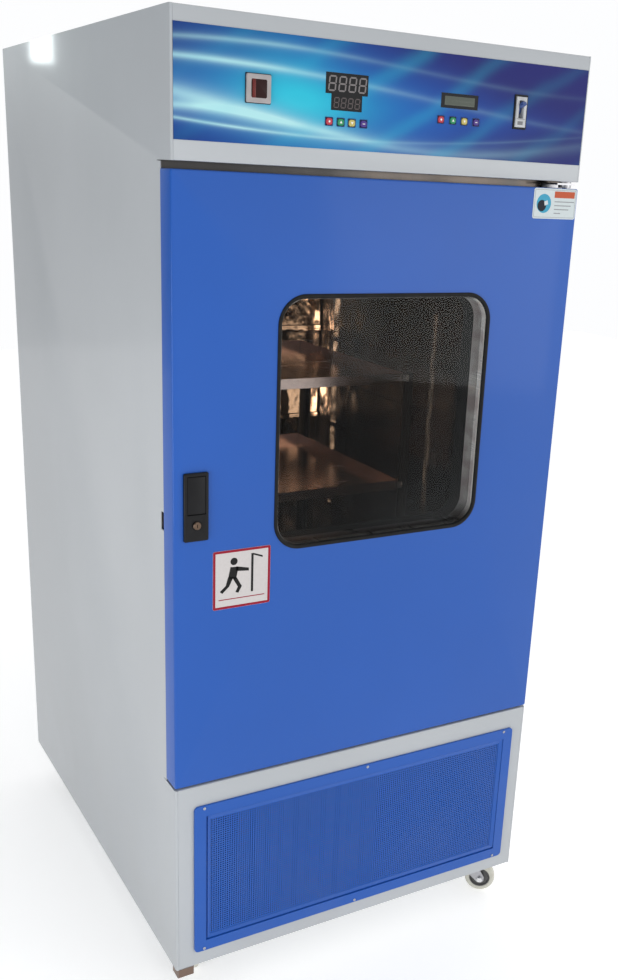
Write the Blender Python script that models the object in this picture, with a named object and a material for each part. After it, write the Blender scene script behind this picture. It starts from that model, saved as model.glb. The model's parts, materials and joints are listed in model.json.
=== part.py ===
"""Orbital incubator shaker: a steel cabinet on castors with an insulated, windowed door.

Lengths are metres. Every piece is drawn from the cabinet datum, the front, left, bottom corner
of the body: x runs to the right along the front, y back into the cabinet, z up.
"""

import math

import bmesh
import bpy
from mathutils import Matrix, Vector

# Driving dimensions of the cabinet
BODY_WIDTH = 0.740
BODY_DEPTH = 0.930
BASE_HEIGHT = 0.3635
DOOR_HEIGHT = 0.985
HEAD_HEIGHT = 0.199
CASTOR_HEIGHT = 0.085
DOOR_DEPTH = 0.040
DOOR_GAP_ABOVE = 0.011
DOOR_GAP_BELOW = 0.0035
SEAL_GAP = 0.012
INSULATED_WALL = 0.065
SHEET = 0.0015
SEAT = 0.0003
OVERRUN = 0.004

# Heights and depths that follow from them
DOOR_BOTTOM = BASE_HEIGHT + DOOR_GAP_BELOW
DOOR_TOP = DOOR_BOTTOM + DOOR_HEIGHT
HEAD_BOTTOM = DOOR_TOP + DOOR_GAP_ABOVE
BODY_HEIGHT = HEAD_BOTTOM + HEAD_HEIGHT
STEP_DEPTH = DOOR_DEPTH + SEAL_GAP
INSIDE_LEFT = SHEET + SEAT
INSIDE_RIGHT = BODY_WIDTH - SHEET - SEAT
INSIDE_BACK = BODY_DEPTH - SHEET - SEAT

# Sheet folds of the cabinet
CORNER_RADIUS = 0.004
CORNER_RETURN = 0.0045
FOLD_RADIUS = 0.0025
LEDGE_LAP = 0.025
LEDGE_DEPTH = STEP_DEPTH + LEDGE_LAP
BASE_RETURN = 0.030

# Chamber
CHAMBER_LEFT = INSULATED_WALL
CHAMBER_RIGHT = BODY_WIDTH - INSULATED_WALL
CHAMBER_FLOOR = BASE_HEIGHT + INSULATED_WALL
CHAMBER_CEILING = HEAD_BOTTOM - INSULATED_WALL
CHAMBER_BACK = BODY_DEPTH - INSULATED_WALL
LINER_SHEET = 0.0012
LINER_CORNER = 0.012
BAFFLE_DEPTH = 0.070
BAFFLE_Y = CHAMBER_BACK - BAFFLE_DEPTH
LADDER_BAR = 0.020
LADDER_RAIL = 0.010
LADDER_DEPTH = 0.006
LADDER_PITCH = 0.100
LADDER_FRONT_Y = 0.315
LADDER_BACK_CLEARANCE = 0.055
LADDER_BACK_Y = BAFFLE_Y - LADDER_BACK_CLEARANCE
LADDER_RISE = 0.1615
LADDER_BOTTOM = CHAMBER_FLOOR + LADDER_RISE
LADDER_RAILS = 6

# Shaker platform and its drive
RACK_SIDE_CLEARANCE = 0.058
RACK_FRONT_CLEARANCE = 0.243
RACK_BACK_CLEARANCE = 0.050
RACK_WIDTH = CHAMBER_RIGHT - CHAMBER_LEFT - 2 * RACK_SIDE_CLEARANCE
RACK_FRONT_Y = STEP_DEPTH + RACK_FRONT_CLEARANCE
RACK_DEPTH = BAFFLE_Y - RACK_BACK_CLEARANCE - RACK_FRONT_Y
RACK_CENTRE_X = BODY_WIDTH / 2
RACK_CENTRE_Y = RACK_FRONT_Y + RACK_DEPTH / 2
ORBIT_RADIUS = 0.0125
TOWER_RISE = 0.010
DISC_THICKNESS = 0.010
HUB_HEIGHT = 0.020
DECK_THICKNESS = 0.004
LOWER_TRAY_RISE = 0.3235
UPPER_TRAY_RISE = 0.5425
LOWER_TRAY_Z = CHAMBER_FLOOR + LOWER_TRAY_RISE
UPPER_TRAY_Z = CHAMBER_FLOOR + UPPER_TRAY_RISE
TRAY_LIP = 0.019
TRAY_SHEET = 0.002
POST_WIDTH = 0.0195
POST_SHEET = 0.003
TOWER_TOP = CHAMBER_FLOOR + TOWER_RISE
RUNNING_GAP = 0.0015
DISC_BOTTOM = TOWER_TOP + RUNNING_GAP
DISC_TOP = DISC_BOTTOM + DISC_THICKNESS
HUB_BOTTOM = DISC_TOP + RUNNING_GAP
PLATFORM_BOTTOM = HUB_BOTTOM + HUB_HEIGHT

# Door
DOOR_EDGE_RADIUS = 0.003
LINER_PLATE = 0.0015
PLUG_CLEARANCE = 0.018
PLUG_DEPTH = 0.027
PLUG_BACK = DOOR_DEPTH + PLUG_DEPTH
PLUG_RADIUS = 0.015
GASKET_WIDTH = 0.014
GASKET_WAIST = 0.002
GASKET_MARGIN = 0.001
HINGE_INSET_X = 0.015
HINGE_INSET_Y = 0.020
HINGE_X = BODY_WIDTH - HINGE_INSET_X
PIN_RADIUS = 0.004

# Window
WINDOW_LEFT = 0.172
WINDOW_RIGHT_MARGIN = 0.167
WINDOW_RISE = 0.399
WINDOW_TOP_MARGIN = 0.173
WINDOW_WIDTH = BODY_WIDTH - WINDOW_LEFT - WINDOW_RIGHT_MARGIN
WINDOW_BOTTOM = DOOR_BOTTOM + WINDOW_RISE
WINDOW_HEIGHT = DOOR_TOP - WINDOW_TOP_MARGIN - WINDOW_BOTTOM
WINDOW_RADIUS = 0.048
SEAL_LIP = 0.004
SEAL_WIDTH = 0.0045
SEAL_PROUD = 0.0018
GLASS_LAP = 0.008
GLASS_UNIT = 0.012
REVEAL_MARGIN = 0.002

# Handle and lock
HANDLE_LEFT = 0.0165
HANDLE_WIDTH = 0.0405
HANDLE_RISE = 0.435
HANDLE_BOTTOM = DOOR_BOTTOM + HANDLE_RISE
HANDLE_HEIGHT = 0.110
HANDLE_PROUD = 0.005
HANDLE_LIP = 0.003
HANDLE_DEPTH = 0.030
LOCK_INSET_X = 0.0205
LOCK_RISE = 0.026
LOCK_X = HANDLE_LEFT + LOCK_INSET_X
LOCK_Z = HANDLE_BOTTOM + LOCK_RISE
LOCK_RADIUS = 0.0055
LOCK_RING = 0.0066
LOCK_PROUD = 0.0032

# Control head
BREAKER_INSET_X = 0.141
BREAKER_RISE = 0.103
BREAKER_X = BODY_WIDTH - BREAKER_INSET_X
BREAKER_Z = HEAD_BOTTOM + BREAKER_RISE
BREAKER_PROUD = 0.0035
TOGGLE_PROUD = 0.0080
OVERLAY_SHEET = 0.0006

# Castors
CASTOR_INSET_X = 0.060
CASTOR_INSET_Y = 0.072
CASTOR_TRAIL = 0.033
WHEEL_RADIUS = 0.0315
WHEEL_WIDTH = 0.022

# Furthest reach in front of the door face and behind the back panel
GLAND_PROUD = 0.016
FRONT_PROUD = max(
    HANDLE_PROUD + LOCK_PROUD,
    SEAT + OVERLAY_SHEET + BREAKER_PROUD + TOGGLE_PROUD,
)
FRONT_Y = -(BODY_DEPTH + GLAND_PROUD - FRONT_PROUD) / 2

# Smoothness of round forms
BEND_STEPS = 2
EDGE_STEPS = 3
CORNER_STEPS = 4
FINE_STEPS = 20
ROUND_STEPS = 16
WHEEL_STEPS = 16
SMALL_STEPS = 12
PIN_STEPS = 8
SMOOTH_ANGLE = math.radians(35)

GREY = ("cabinet_grey", (0.60, 0.64, 0.66), 0.35, 0.0)
BLUE = ("door_blue", (0.045, 0.125, 0.43), 0.35, 0.0)
STAINLESS = ("stainless", (0.55, 0.53, 0.51), 0.25, 1.0)
ZINC = ("zinc_steel", (0.45, 0.45, 0.46), 0.4, 1.0)
BLACK = ("black_plastic", (0.015, 0.015, 0.017), 0.4, 0.0)
RUBBER = ("black_rubber", (0.02, 0.02, 0.02), 0.7, 0.0)
FOAM = ("foam", (0.62, 0.55, 0.33), 0.9, 0.0)
WHITE = ("white_plastic", (0.75, 0.76, 0.76), 0.4, 0.0)
GLASS = ("window_glass", (0.05, 0.05, 0.05), 0.05, 0.0)
CAST = ("cast_grey", (0.16, 0.17, 0.18), 0.5, 0.6)
COPPER = ("copper_fins", (0.50, 0.33, 0.24), 0.4, 0.9)
TYRE = ("grey_tyre", (0.48, 0.48, 0.44), 0.6, 0.0)
PANEL = ("panel_blue", (0.02, 0.09, 0.42), 0.3, 0.0)
KEY_COLOURS = {
    "red": (0.50, 0.03, 0.04),
    "green": (0.05, 0.40, 0.10),
    "yellow": (0.70, 0.50, 0.05),
    "navy": (0.03, 0.05, 0.28),
}


def clear_scene():
    for old in list(bpy.data.objects):
        bpy.data.objects.remove(old, do_unlink=True)


def finish(recipe):
    """The named Principled material, made once."""
    name, colour, roughness, metallic = recipe
    found = bpy.data.materials.get(name)
    if found:
        return found
    made = bpy.data.materials.new(name)
    made.use_nodes = True
    shader = made.node_tree.nodes["Principled BSDF"]
    shader.inputs["Base Color"].default_value = (*colour, 1)
    shader.inputs["Roughness"].default_value = roughness
    shader.inputs["Metallic"].default_value = metallic
    return made


def axis_empty(name, place, parent=None):
    """An empty at a point of the datum frame. The datum itself has no parent."""
    empty = bpy.data.objects.new(name, None)
    bpy.context.scene.collection.objects.link(empty)
    empty["place"] = tuple(place)
    if parent is None:
        empty.location = place
        empty["place"] = (0, 0, 0)
    else:
        empty.parent = parent
        empty.location = Vector(place) - Vector(parent["place"])
    return empty


def piece(name, shape, recipe, carrier):
    """Makes one closed mesh, drawn in the datum frame and carried by an empty."""
    points, faces = shape
    mesh = bpy.data.meshes.new(name)
    mesh.from_pydata([Vector(point) - Vector(carrier["place"]) for point in points], [], faces)
    work = bmesh.new()
    work.from_mesh(mesh)
    bmesh.ops.recalc_face_normals(work, faces=work.faces)
    work.to_mesh(mesh)
    work.free()
    mesh.shade_smooth()
    mesh.set_sharp_from_angle(angle=SMOOTH_ANGLE)
    mesh.materials.append(finish(recipe))
    made = bpy.data.objects.new(name, mesh)
    bpy.context.scene.collection.objects.link(made)
    made.parent = carrier
    return made


def combine(target, shape, operation, label):
    """Adds a shape to a piece or cuts it away, with a hidden helper object."""
    helper = piece(f"{target.name}_{label}", shape, GREY, target.parent)
    helper.hide_render = True
    helper.display_type = "WIRE"
    change = target.modifiers.new(label, "BOOLEAN")
    change.operation = operation
    change.solver = "EXACT"
    change.object = helper
    return helper


def add(target, shape, label):
    return combine(target, shape, "UNION", label)


def cut(target, shape, label):
    return combine(target, shape, "DIFFERENCE", label)


def at(axis, u, v, along):
    """A point from its place in the plane square to an axis, and its place along that axis."""
    if axis == "X":
        return (along, u, v)
    if axis == "Y":
        return (u, along, v)
    return (u, v, along)


def loft(loops, ring=False):
    """Skins loops of equal length, one after another, with both ends capped or joined in a ring."""
    count = len(loops[0])
    points = [point for loop in loops for point in loop]
    faces = []
    spans = len(loops) if ring else len(loops) - 1
    for span in range(spans):
        near, far = span * count, (span + 1) % len(loops) * count
        for step in range(count):
            after = (step + 1) % count
            faces.append((near + step, near + after, far + after, far + step))
    if not ring:
        faces.append(tuple(range(count)))
        faces.append(tuple(range(len(points) - count, len(points))))
    return points, faces


def prism(outline, axis, start, end):
    """An outline carried straight along an axis."""
    return loft([[at(axis, u, v, along) for u, v in outline] for along in (start, end)])


def box(low, high):
    outline = [(low[0], low[1]), (high[0], low[1]), (high[0], high[1]), (low[0], high[1])]
    return prism(outline, "Z", low[2], high[2])


def rounded_rect(left, bottom, right, top, radius, steps=CORNER_STEPS):
    """The outline of a rectangle with round corners."""
    radius = min(radius, (right - left) / 2, (top - bottom) / 2)
    outline = []
    corners = ((right, top, 0), (left, top, 1), (left, bottom, 2), (right, bottom, 3))
    for corner_u, corner_v, quarter in corners:
        towards_u = -radius if corner_u == right else radius
        towards_v = -radius if corner_v == top else radius
        for step in range(steps + 1):
            angle = (quarter + step / steps) * math.pi / 2
            outline.append((
                corner_u + towards_u + radius * math.cos(angle),
                corner_v + towards_v + radius * math.sin(angle),
            ))
    return outline


def circle(centre, radius, steps):
    turns = [2 * math.pi * step / steps for step in range(steps)]
    return [(centre[0] + radius * math.cos(a), centre[1] + radius * math.sin(a)) for a in turns]


def turned(profile, axis, centre, steps, ring=False):
    """Revolves (radius, place along the axis) points. A ring's profile closes on itself."""
    loops = [
        [at(axis, u, v, along) for u, v in circle(centre, radius, steps)]
        for radius, along in profile
    ]
    return loft(loops, ring)


def rod(axis, centre, radius, start, end, steps=SMALL_STEPS):
    return turned([(radius, start), (radius, end)], axis, centre, steps)


def offset_path(path, distance):
    """A parallel of an open path, to its left where the distance is positive."""
    directions = [(Vector(b) - Vector(a)).normalized() for a, b in zip(path, path[1:])]
    normals = [Vector((-way.y, way.x)) for way in directions]
    moved = [Vector(path[0]) + normals[0] * distance]
    for corner, before, after in zip(path[1:], normals, normals[1:]):
        moved.append(Vector(corner) + (before + after) * distance / (1 + before.dot(after)))
    moved.append(Vector(path[-1]) + normals[-1] * distance)
    return moved


def filleted(path, radii):
    """An open path with an arc of its own radius at each inner corner."""
    points = [Vector(path[0])]
    for before, corner, after, radius in zip(path, path[1:], path[2:], radii):
        into = (Vector(corner) - Vector(before)).normalized()
        out = (Vector(after) - Vector(corner)).normalized()
        turn = math.atan2(into.x * out.y - into.y * out.x, into.dot(out))
        reach = radius * math.tan(abs(turn) / 2)
        spoke = Vector((into.y, -into.x)) * math.copysign(radius, turn)
        centre = Vector(corner) - into * reach - spoke
        for step in range(BEND_STEPS + 1):
            points.append(centre + Matrix.Rotation(turn * step / BEND_STEPS, 2) @ spoke)
    points.append(Vector(path[-1]))
    return points


def folded(path, thickness, radius):
    """The section of a bent sheet. The path is its outer face, with the metal to its right."""
    outer_radii, inner_radii = [], []
    for before, corner, after in zip(path, path[1:], path[2:]):
        into, out = Vector(corner) - Vector(before), Vector(after) - Vector(corner)
        right_hand = into.x * out.y - into.y * out.x < 0
        outer_radii.append(radius if right_hand else radius - thickness)
        inner_radii.append(radius - thickness if right_hand else radius)
    inner = filleted(offset_path(path, -thickness), inner_radii)
    return filleted(path, outer_radii) + inner[::-1]


def perforated(axis, u_lines, v_lines, start, end):
    """A plate with a hole wherever an odd stretch of the u lines meets an odd one of the v lines."""
    points = [at(axis, u, v, along) for along in (start, end) for v in v_lines for u in u_lines]
    across, side = len(u_lines), len(u_lines) * len(v_lines)
    solid = {
        (i, j)
        for i in range(len(u_lines) - 1)
        for j in range(len(v_lines) - 1)
        if not (i % 2 and j % 2)
    }
    faces = []
    for i, j in sorted(solid):
        corners = [j * across + i, j * across + i + 1, (j + 1) * across + i + 1, (j + 1) * across + i]
        faces.append(tuple(corners))
        faces.append(tuple(side + corner for corner in reversed(corners)))
        beside = ((i, j - 1), (i + 1, j), (i, j + 1), (i - 1, j))
        for edge, neighbour in enumerate(beside):
            if neighbour not in solid:
                a, b = corners[edge], corners[(edge + 1) % 4]
                faces.append((b, a, side + a, side + b))
    return points, faces


def pierced_lines(low, high, margin, count, hole_share):
    """Line places across a plate: a plain margin, then holes and bars by turns."""
    pitch = (high - low - 2 * margin) / count
    lines = [low]
    for step in range(count):
        middle = low + margin + pitch * (step + 1 / 2)
        lines += [middle - pitch * hole_share / 2, middle + pitch * hole_share / 2]
    return lines + [high]


def mirrored(shape):
    """The other hand of a shape, across the middle of the cabinet."""
    points, faces = shape
    return [(BODY_WIDTH - x, y, z) for x, y, z in points], [face[::-1] for face in faces]


# Cabinet shell


def make_side_panels(datum):
    path = [(CORNER_RETURN, 0), (0, 0), (0, BODY_DEPTH)]
    sheet = prism(folded(path, SHEET, CORNER_RADIUS), "Z", 0, BODY_HEIGHT)
    step = box((-OVERRUN, -OVERRUN, BASE_HEIGHT), (CORNER_RETURN + OVERRUN, STEP_DEPTH, HEAD_BOTTOM))
    left = piece("left_side_panel", sheet, GREY, datum)
    cut(left, step, "door_step")
    right = piece("right_side_panel", mirrored(sheet), GREY, datum)
    cut(right, mirrored(step), "door_step")


def corner_notches(target, low, high):
    """Clears the places where the side panels fold round the front corners."""
    notch = box(
        (-OVERRUN, -OVERRUN, low - OVERRUN),
        (CORNER_RETURN + SEAT, CORNER_RADIUS + SEAT, high + OVERRUN),
    )
    cut(target, notch, "left_corner")
    cut(target, mirrored(notch), "right_corner")


def make_head_cover(datum):
    path = [
        (LEDGE_DEPTH, HEAD_BOTTOM),
        (0, HEAD_BOTTOM),
        (0, BODY_HEIGHT),
        (INSIDE_BACK, BODY_HEIGHT),
    ]
    cover = piece(
        "head_cover",
        prism(folded(path, SHEET, FOLD_RADIUS), "X", INSIDE_LEFT, INSIDE_RIGHT),
        GREY,
        datum,
    )
    corner_notches(cover, HEAD_BOTTOM, BODY_HEIGHT)
    for label, opening in head_openings():
        cut(cover, window_through(opening, SEAT), label)


def make_base_front_panel(datum):
    path = [(BASE_RETURN, 0), (0, 0), (0, BASE_HEIGHT), (LEDGE_DEPTH, BASE_HEIGHT)]
    front = piece(
        "base_front_panel",
        prism(folded(path, SHEET, FOLD_RADIUS), "X", INSIDE_LEFT, INSIDE_RIGHT),
        GREY,
        datum,
    )
    corner_notches(front, 0, BASE_HEIGHT)
    left, bottom, right, top = mesh_edges()
    aperture = box(
        (left - SEAT, -OVERRUN, bottom - SEAT), (right + SEAT, SHEET + OVERRUN, top + SEAT)
    )
    cut(front, aperture, "vent_aperture")
    add(front, corner_block(BLOCK_SHOULDER, SHEET / 2), "block_neck")
    add(front, corner_block(0, -SEAT), "corner_block")


BLOCK_LEFT = 0.003
BLOCK_FRONT = 0.0008
BLOCK_WIDTH = 0.030
BLOCK_DEPTH = 0.026
BLOCK_HEIGHT = 0.017
BLOCK_SHOULDER = 0.006


def corner_block(inset, top):
    """The square block under the front left corner, or its neck."""
    return box(
        (BLOCK_LEFT + inset, BLOCK_FRONT + inset, inset - BLOCK_HEIGHT),
        (BLOCK_LEFT + BLOCK_WIDTH - inset, BLOCK_FRONT + BLOCK_DEPTH - inset, top),
    )


VENT_ROWS = 6
VENT_COLUMNS = 2
VENT_SIDE_MARGIN = 0.120
VENT_LOW = 0.110
VENT_PITCH = 0.026
vent_row_share = 0.42
vent_column_share = 0.78


def make_back_panel(datum):
    across = pierced_lines(
        INSIDE_LEFT, INSIDE_RIGHT, VENT_SIDE_MARGIN, VENT_COLUMNS, vent_column_share
    )
    up = [0]
    for row in range(VENT_ROWS):
        start = VENT_LOW + row * VENT_PITCH
        up += [start, start + VENT_PITCH * vent_row_share]
    up.append(BODY_HEIGHT)
    plate = perforated("Y", across, up, BODY_DEPTH - SHEET, BODY_DEPTH)
    back = piece("back_panel", plate, GREY, datum)
    cut(
        back,
        rod("Y", gland_centre(), GLAND_THREAD + SEAT, INSIDE_BACK - OVERRUN, BODY_DEPTH + OVERRUN),
        "gland_hole",
    )


GLAND_INSET_X = 0.095
GLAND_HEIGHT = 0.065
GLAND_THREAD = 0.010
GLAND_NUT = 0.016
GLAND_NUT_THICKNESS = 0.007
GLAND_CROWN = 0.012
GLAND_BORE = 0.005
GLAND_INSIDE = 0.014


def gland_centre():
    return (BODY_WIDTH - GLAND_INSET_X, GLAND_HEIGHT)


def make_cable_gland(datum):
    back = BODY_DEPTH
    profile = [
        (GLAND_BORE, back - GLAND_INSIDE),
        (GLAND_THREAD, back - GLAND_INSIDE),
        (GLAND_THREAD, back + SEAT),
        (GLAND_NUT, back + SEAT),
        (GLAND_NUT, back + GLAND_NUT_THICKNESS),
        (GLAND_CROWN, back + GLAND_NUT_THICKNESS),
        (GLAND_BORE + SHEET, back + GLAND_PROUD),
        (GLAND_BORE, back + GLAND_PROUD),
    ]
    piece("cable_gland", turned(profile, "Y", gland_centre(), SMALL_STEPS, ring=True), BLACK, datum)


# Base


PAN_SHEET = 0.003
CASTOR_PLATE = 0.066
CASTOR_PLATE_THICKNESS = 0.004
KINGPIN_RADIUS = 0.006


def castor_places():
    """Name, swivel axis and trail direction of each castor."""
    left, right = CASTOR_INSET_X, BODY_WIDTH - CASTOR_INSET_X
    front, rear = CASTOR_INSET_Y, BODY_DEPTH - CASTOR_INSET_Y
    return {
        "front_left": (left, front, math.radians(72)),
        "front_right": (right, front, math.radians(-38)),
        "rear_left": (left, rear, math.radians(-80)),
        "rear_right": (right, rear, math.radians(-110)),
    }


def make_base_pan(datum):
    pan = piece(
        "base_pan",
        box((INSIDE_LEFT, BASE_RETURN + SEAT, 0), (INSIDE_RIGHT, INSIDE_BACK, PAN_SHEET)),
        GREY,
        datum,
    )
    half = CASTOR_PLATE / 2
    for name, (x, y, _) in castor_places().items():
        plate = box(
            (x - half, y - half, -CASTOR_PLATE_THICKNESS), (x + half, y + half, PAN_SHEET / 2)
        )
        add(pan, plate, f"{name}_plate")
        hole = rod("Z", (x, y), KINGPIN_RADIUS + 2 * SEAT, -CASTOR_PLATE, CASTOR_PLATE, PIN_STEPS)
        cut(pan, hole, f"{name}_hole")


GRILLE_LEFT = 0.033
GRILLE_RIGHT_MARGIN = 0.0295
GRILLE_BOTTOM = 0.029
GRILLE_TOP_MARGIN = 0.0385
GRILLE_WIDTH = BODY_WIDTH - GRILLE_LEFT - GRILLE_RIGHT_MARGIN
GRILLE_HEIGHT = BASE_HEIGHT - GRILLE_BOTTOM - GRILLE_TOP_MARGIN
GRILLE_BORDER = 0.030
GRILLE_RADIUS = 0.008
GRILLE_PROUD = 0.0045
GRILLE_EDGE = 0.0012
MESH_LAP = 0.005
MESH_MARGIN = 0.012
MESH_COLUMNS = 12
MESH_ROWS = 5
mesh_hole_share = 0.62


def mesh_edges():
    inset = GRILLE_BORDER - MESH_LAP
    return (
        GRILLE_LEFT + inset,
        GRILLE_BOTTOM + inset,
        GRILLE_LEFT + GRILLE_WIDTH - inset,
        GRILLE_BOTTOM + GRILLE_HEIGHT - inset,
    )


def make_grille(datum):
    def loop(inset, radius, y):
        outline = rounded_rect(
            GRILLE_LEFT + inset,
            GRILLE_BOTTOM + inset,
            GRILLE_LEFT + GRILLE_WIDTH - inset,
            GRILLE_BOTTOM + GRILLE_HEIGHT - inset,
            radius,
        )
        return [at("Y", x, z, y) for x, z in outline]

    front = -GRILLE_PROUD
    loops = [
        loop(0, GRILLE_RADIUS, -SEAT),
        loop(0, GRILLE_RADIUS, front + GRILLE_EDGE),
        loop(GRILLE_EDGE, GRILLE_RADIUS - GRILLE_EDGE, front),
        loop(GRILLE_BORDER - GRILLE_EDGE, GRILLE_EDGE, front),
        loop(GRILLE_BORDER, GRILLE_EDGE, front + GRILLE_EDGE),
        loop(GRILLE_BORDER, GRILLE_EDGE, -SEAT),
    ]
    piece("grille_frame", loft(loops, ring=True), BLUE, datum)
    left, bottom, right, top = mesh_edges()
    across = pierced_lines(left, right, MESH_MARGIN, MESH_COLUMNS, mesh_hole_share)
    up = pierced_lines(bottom, top, MESH_MARGIN, MESH_ROWS, mesh_hole_share)
    piece("grille_mesh", perforated("Y", across, up, 0, SHEET), BLUE, datum)


DECK_SHEET = 0.003
SHAFT_RADIUS = 0.0125
SHAFT_CLEARANCE = 0.0005
TOWER_RADIUS = 0.042
BEARING_DROP = 0.015
IDLER_TOWER_RADIUS = 0.026
IDLER_SHAFT_RADIUS = 0.008
IDLER_SHAFT_DEPTH = 0.030
IDLER_INSET_X = 0.082
IDLER_INSET_Y = 0.095
IDLER_SPREAD_X = RACK_WIDTH / 2 - IDLER_INSET_X
IDLER_SPREAD_Y = RACK_DEPTH / 2 - IDLER_INSET_Y
TOWER_CLEARANCE = 0.003


def crank_centre():
    """Main crank axis: the rack's middle, one throw back from the crank pin."""
    return (RACK_CENTRE_X, RACK_CENTRE_Y - ORBIT_RADIUS)


def idler_centres():
    x, y = crank_centre()
    return {
        "left": (x - IDLER_SPREAD_X, y + IDLER_SPREAD_Y),
        "right": (x + IDLER_SPREAD_X, y + IDLER_SPREAD_Y),
    }


def tower_holes(target, low, high):
    """Clears the three bearing towers through a floor."""
    hole = rod("Z", crank_centre(), TOWER_RADIUS + TOWER_CLEARANCE, low, high, ROUND_STEPS)
    cut(target, hole, "tower_hole")
    for side, centre in idler_centres().items():
        hole = rod("Z", centre, IDLER_TOWER_RADIUS + TOWER_CLEARANCE, low, high, ROUND_STEPS)
        cut(target, hole, f"{side}_tower_hole")


def make_machine_deck(datum):
    bottom = BASE_HEIGHT - DECK_SHEET
    deck = piece(
        "machine_deck",
        box((INSIDE_LEFT, LEDGE_DEPTH + SEAT, bottom), (INSIDE_RIGHT, INSIDE_BACK, BASE_HEIGHT)),
        ZINC,
        datum,
    )
    centre = crank_centre()
    tower = rod("Z", centre, TOWER_RADIUS, bottom - BEARING_DROP, TOWER_TOP, ROUND_STEPS)
    add(deck, tower, "tower")
    bore = rod("Z", centre, SHAFT_RADIUS + SHAFT_CLEARANCE, 0, TOWER_TOP + OVERRUN, ROUND_STEPS)
    cut(deck, bore, "shaft_bore")
    for side, centre in idler_centres().items():
        tower = rod("Z", centre, IDLER_TOWER_RADIUS, bottom + SEAT, TOWER_TOP, ROUND_STEPS)
        add(deck, tower, f"{side}_tower")
        floor = TOWER_TOP - IDLER_SHAFT_DEPTH - RUNNING_GAP
        bore = rod("Z", centre, IDLER_SHAFT_RADIUS + SHAFT_CLEARANCE, floor, TOWER_TOP + OVERRUN)
        cut(deck, bore, f"{side}_bore")


# Chamber


def plane_loop(left, bottom, right, top, radius, y, steps=CORNER_STEPS):
    return [at("Y", x, z, y) for x, z in rounded_rect(left, bottom, right, top, radius, steps)]


def chamber_loop(grow, radius, y):
    return plane_loop(
        CHAMBER_LEFT - grow,
        CHAMBER_FLOOR - grow,
        CHAMBER_RIGHT + grow,
        CHAMBER_CEILING + grow,
        radius,
        y,
    )


def filling_loop(radius, y):
    """The space between the side panels, the base ledge and the head."""
    return plane_loop(
        INSIDE_LEFT, BASE_HEIGHT + SEAT, INSIDE_RIGHT, HEAD_BOTTOM - SEAT, radius, y
    )


def make_insulation(datum):
    grow = LINER_SHEET + SEAT
    back = CHAMBER_BACK + grow
    front = STEP_DEPTH + LINER_SHEET + SEAT
    loops = [
        chamber_loop(grow, LINER_CORNER + grow, back),
        chamber_loop(grow, LINER_CORNER + grow, front),
        filling_loop(SHEET, front),
        filling_loop(SHEET, INSIDE_BACK),
    ]
    jacket = piece("insulation_jacket", loft(loops), FOAM, datum)
    tower_holes(jacket, BASE_HEIGHT - OVERRUN, CHAMBER_FLOOR + OVERRUN)


def shelf_ladder():
    """Upright bars and runners on the left chamber wall."""
    depths = [
        LADDER_FRONT_Y,
        LADDER_FRONT_Y + LADDER_BAR,
        LADDER_BACK_Y - LADDER_BAR,
        LADDER_BACK_Y,
    ]
    heights = []
    for rail in range(LADDER_RAILS):
        low = LADDER_BOTTOM + rail * LADDER_PITCH
        heights += [low, low + LADDER_RAIL]
    wall = CHAMBER_LEFT - LINER_SHEET / 2
    return perforated("X", depths, heights, wall, CHAMBER_LEFT + LADDER_DEPTH)


def make_chamber_liner(datum):
    inner, outer = LINER_CORNER, LINER_CORNER + LINER_SHEET
    front, behind = STEP_DEPTH, STEP_DEPTH + LINER_SHEET
    loops = [
        chamber_loop(0, inner, CHAMBER_BACK),
        chamber_loop(0, inner, front),
        filling_loop(SHEET, front),
        filling_loop(SHEET, behind),
        chamber_loop(LINER_SHEET, outer, behind),
        chamber_loop(LINER_SHEET, outer, CHAMBER_BACK + LINER_SHEET),
    ]
    liner = piece("chamber_liner", loft(loops), STAINLESS, datum)
    add(liner, shelf_ladder(), "left_ladder")
    add(liner, mirrored(shelf_ladder()), "right_ladder")
    tower_holes(liner, CHAMBER_FLOOR - INSULATED_WALL, CHAMBER_FLOOR + OVERRUN)


BAFFLE_SIDE_GAP = 0.004
BAFFLE_END_GAP = 0.045
RIB_HEIGHT = 0.015
RIB_DEPTH = 0.005
RIB_RISES = (0.3645, 0.5745)
INTAKE_SLOTS = 5
INTAKE_PITCH = 0.028
INTAKE_SLOT = 0.011
INTAKE_WIDTH = 0.150
FAN_RISE = 0.4715
FAN_Z = CHAMBER_FLOOR + FAN_RISE
FAN_RADIUS = 0.080


def make_air_baffle(datum):
    back = CHAMBER_BACK - SEAT
    low, high = CHAMBER_FLOOR + BAFFLE_END_GAP, CHAMBER_CEILING - BAFFLE_END_GAP
    path = [(back, low), (BAFFLE_Y, low)]
    for rise in RIB_RISES:
        rib = CHAMBER_FLOOR + rise
        path += [(BAFFLE_Y, rib), (BAFFLE_Y - RIB_DEPTH, rib)]
        path += [(BAFFLE_Y - RIB_DEPTH, rib + RIB_HEIGHT), (BAFFLE_Y, rib + RIB_HEIGHT)]
    path += [(BAFFLE_Y, high), (back, high)]
    left = CHAMBER_LEFT + BAFFLE_SIDE_GAP
    right = CHAMBER_RIGHT - BAFFLE_SIDE_GAP
    section = folded(path, LINER_SHEET, LINER_SHEET + SEAT)
    baffle = piece("air_baffle", prism(section, "X", left, right), STAINLESS, datum)
    middle = BODY_WIDTH / 2
    for slot in range(INTAKE_SLOTS):
        low = FAN_Z + (slot - (INTAKE_SLOTS - 1) / 2) * INTAKE_PITCH - INTAKE_SLOT / 2
        opening = box(
            (middle - INTAKE_WIDTH / 2, BAFFLE_Y - OVERRUN, low),
            (middle + INTAKE_WIDTH / 2, BAFFLE_Y + OVERRUN, low + INTAKE_SLOT),
        )
        cut(baffle, opening, f"intake_{slot + 1}")


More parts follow.
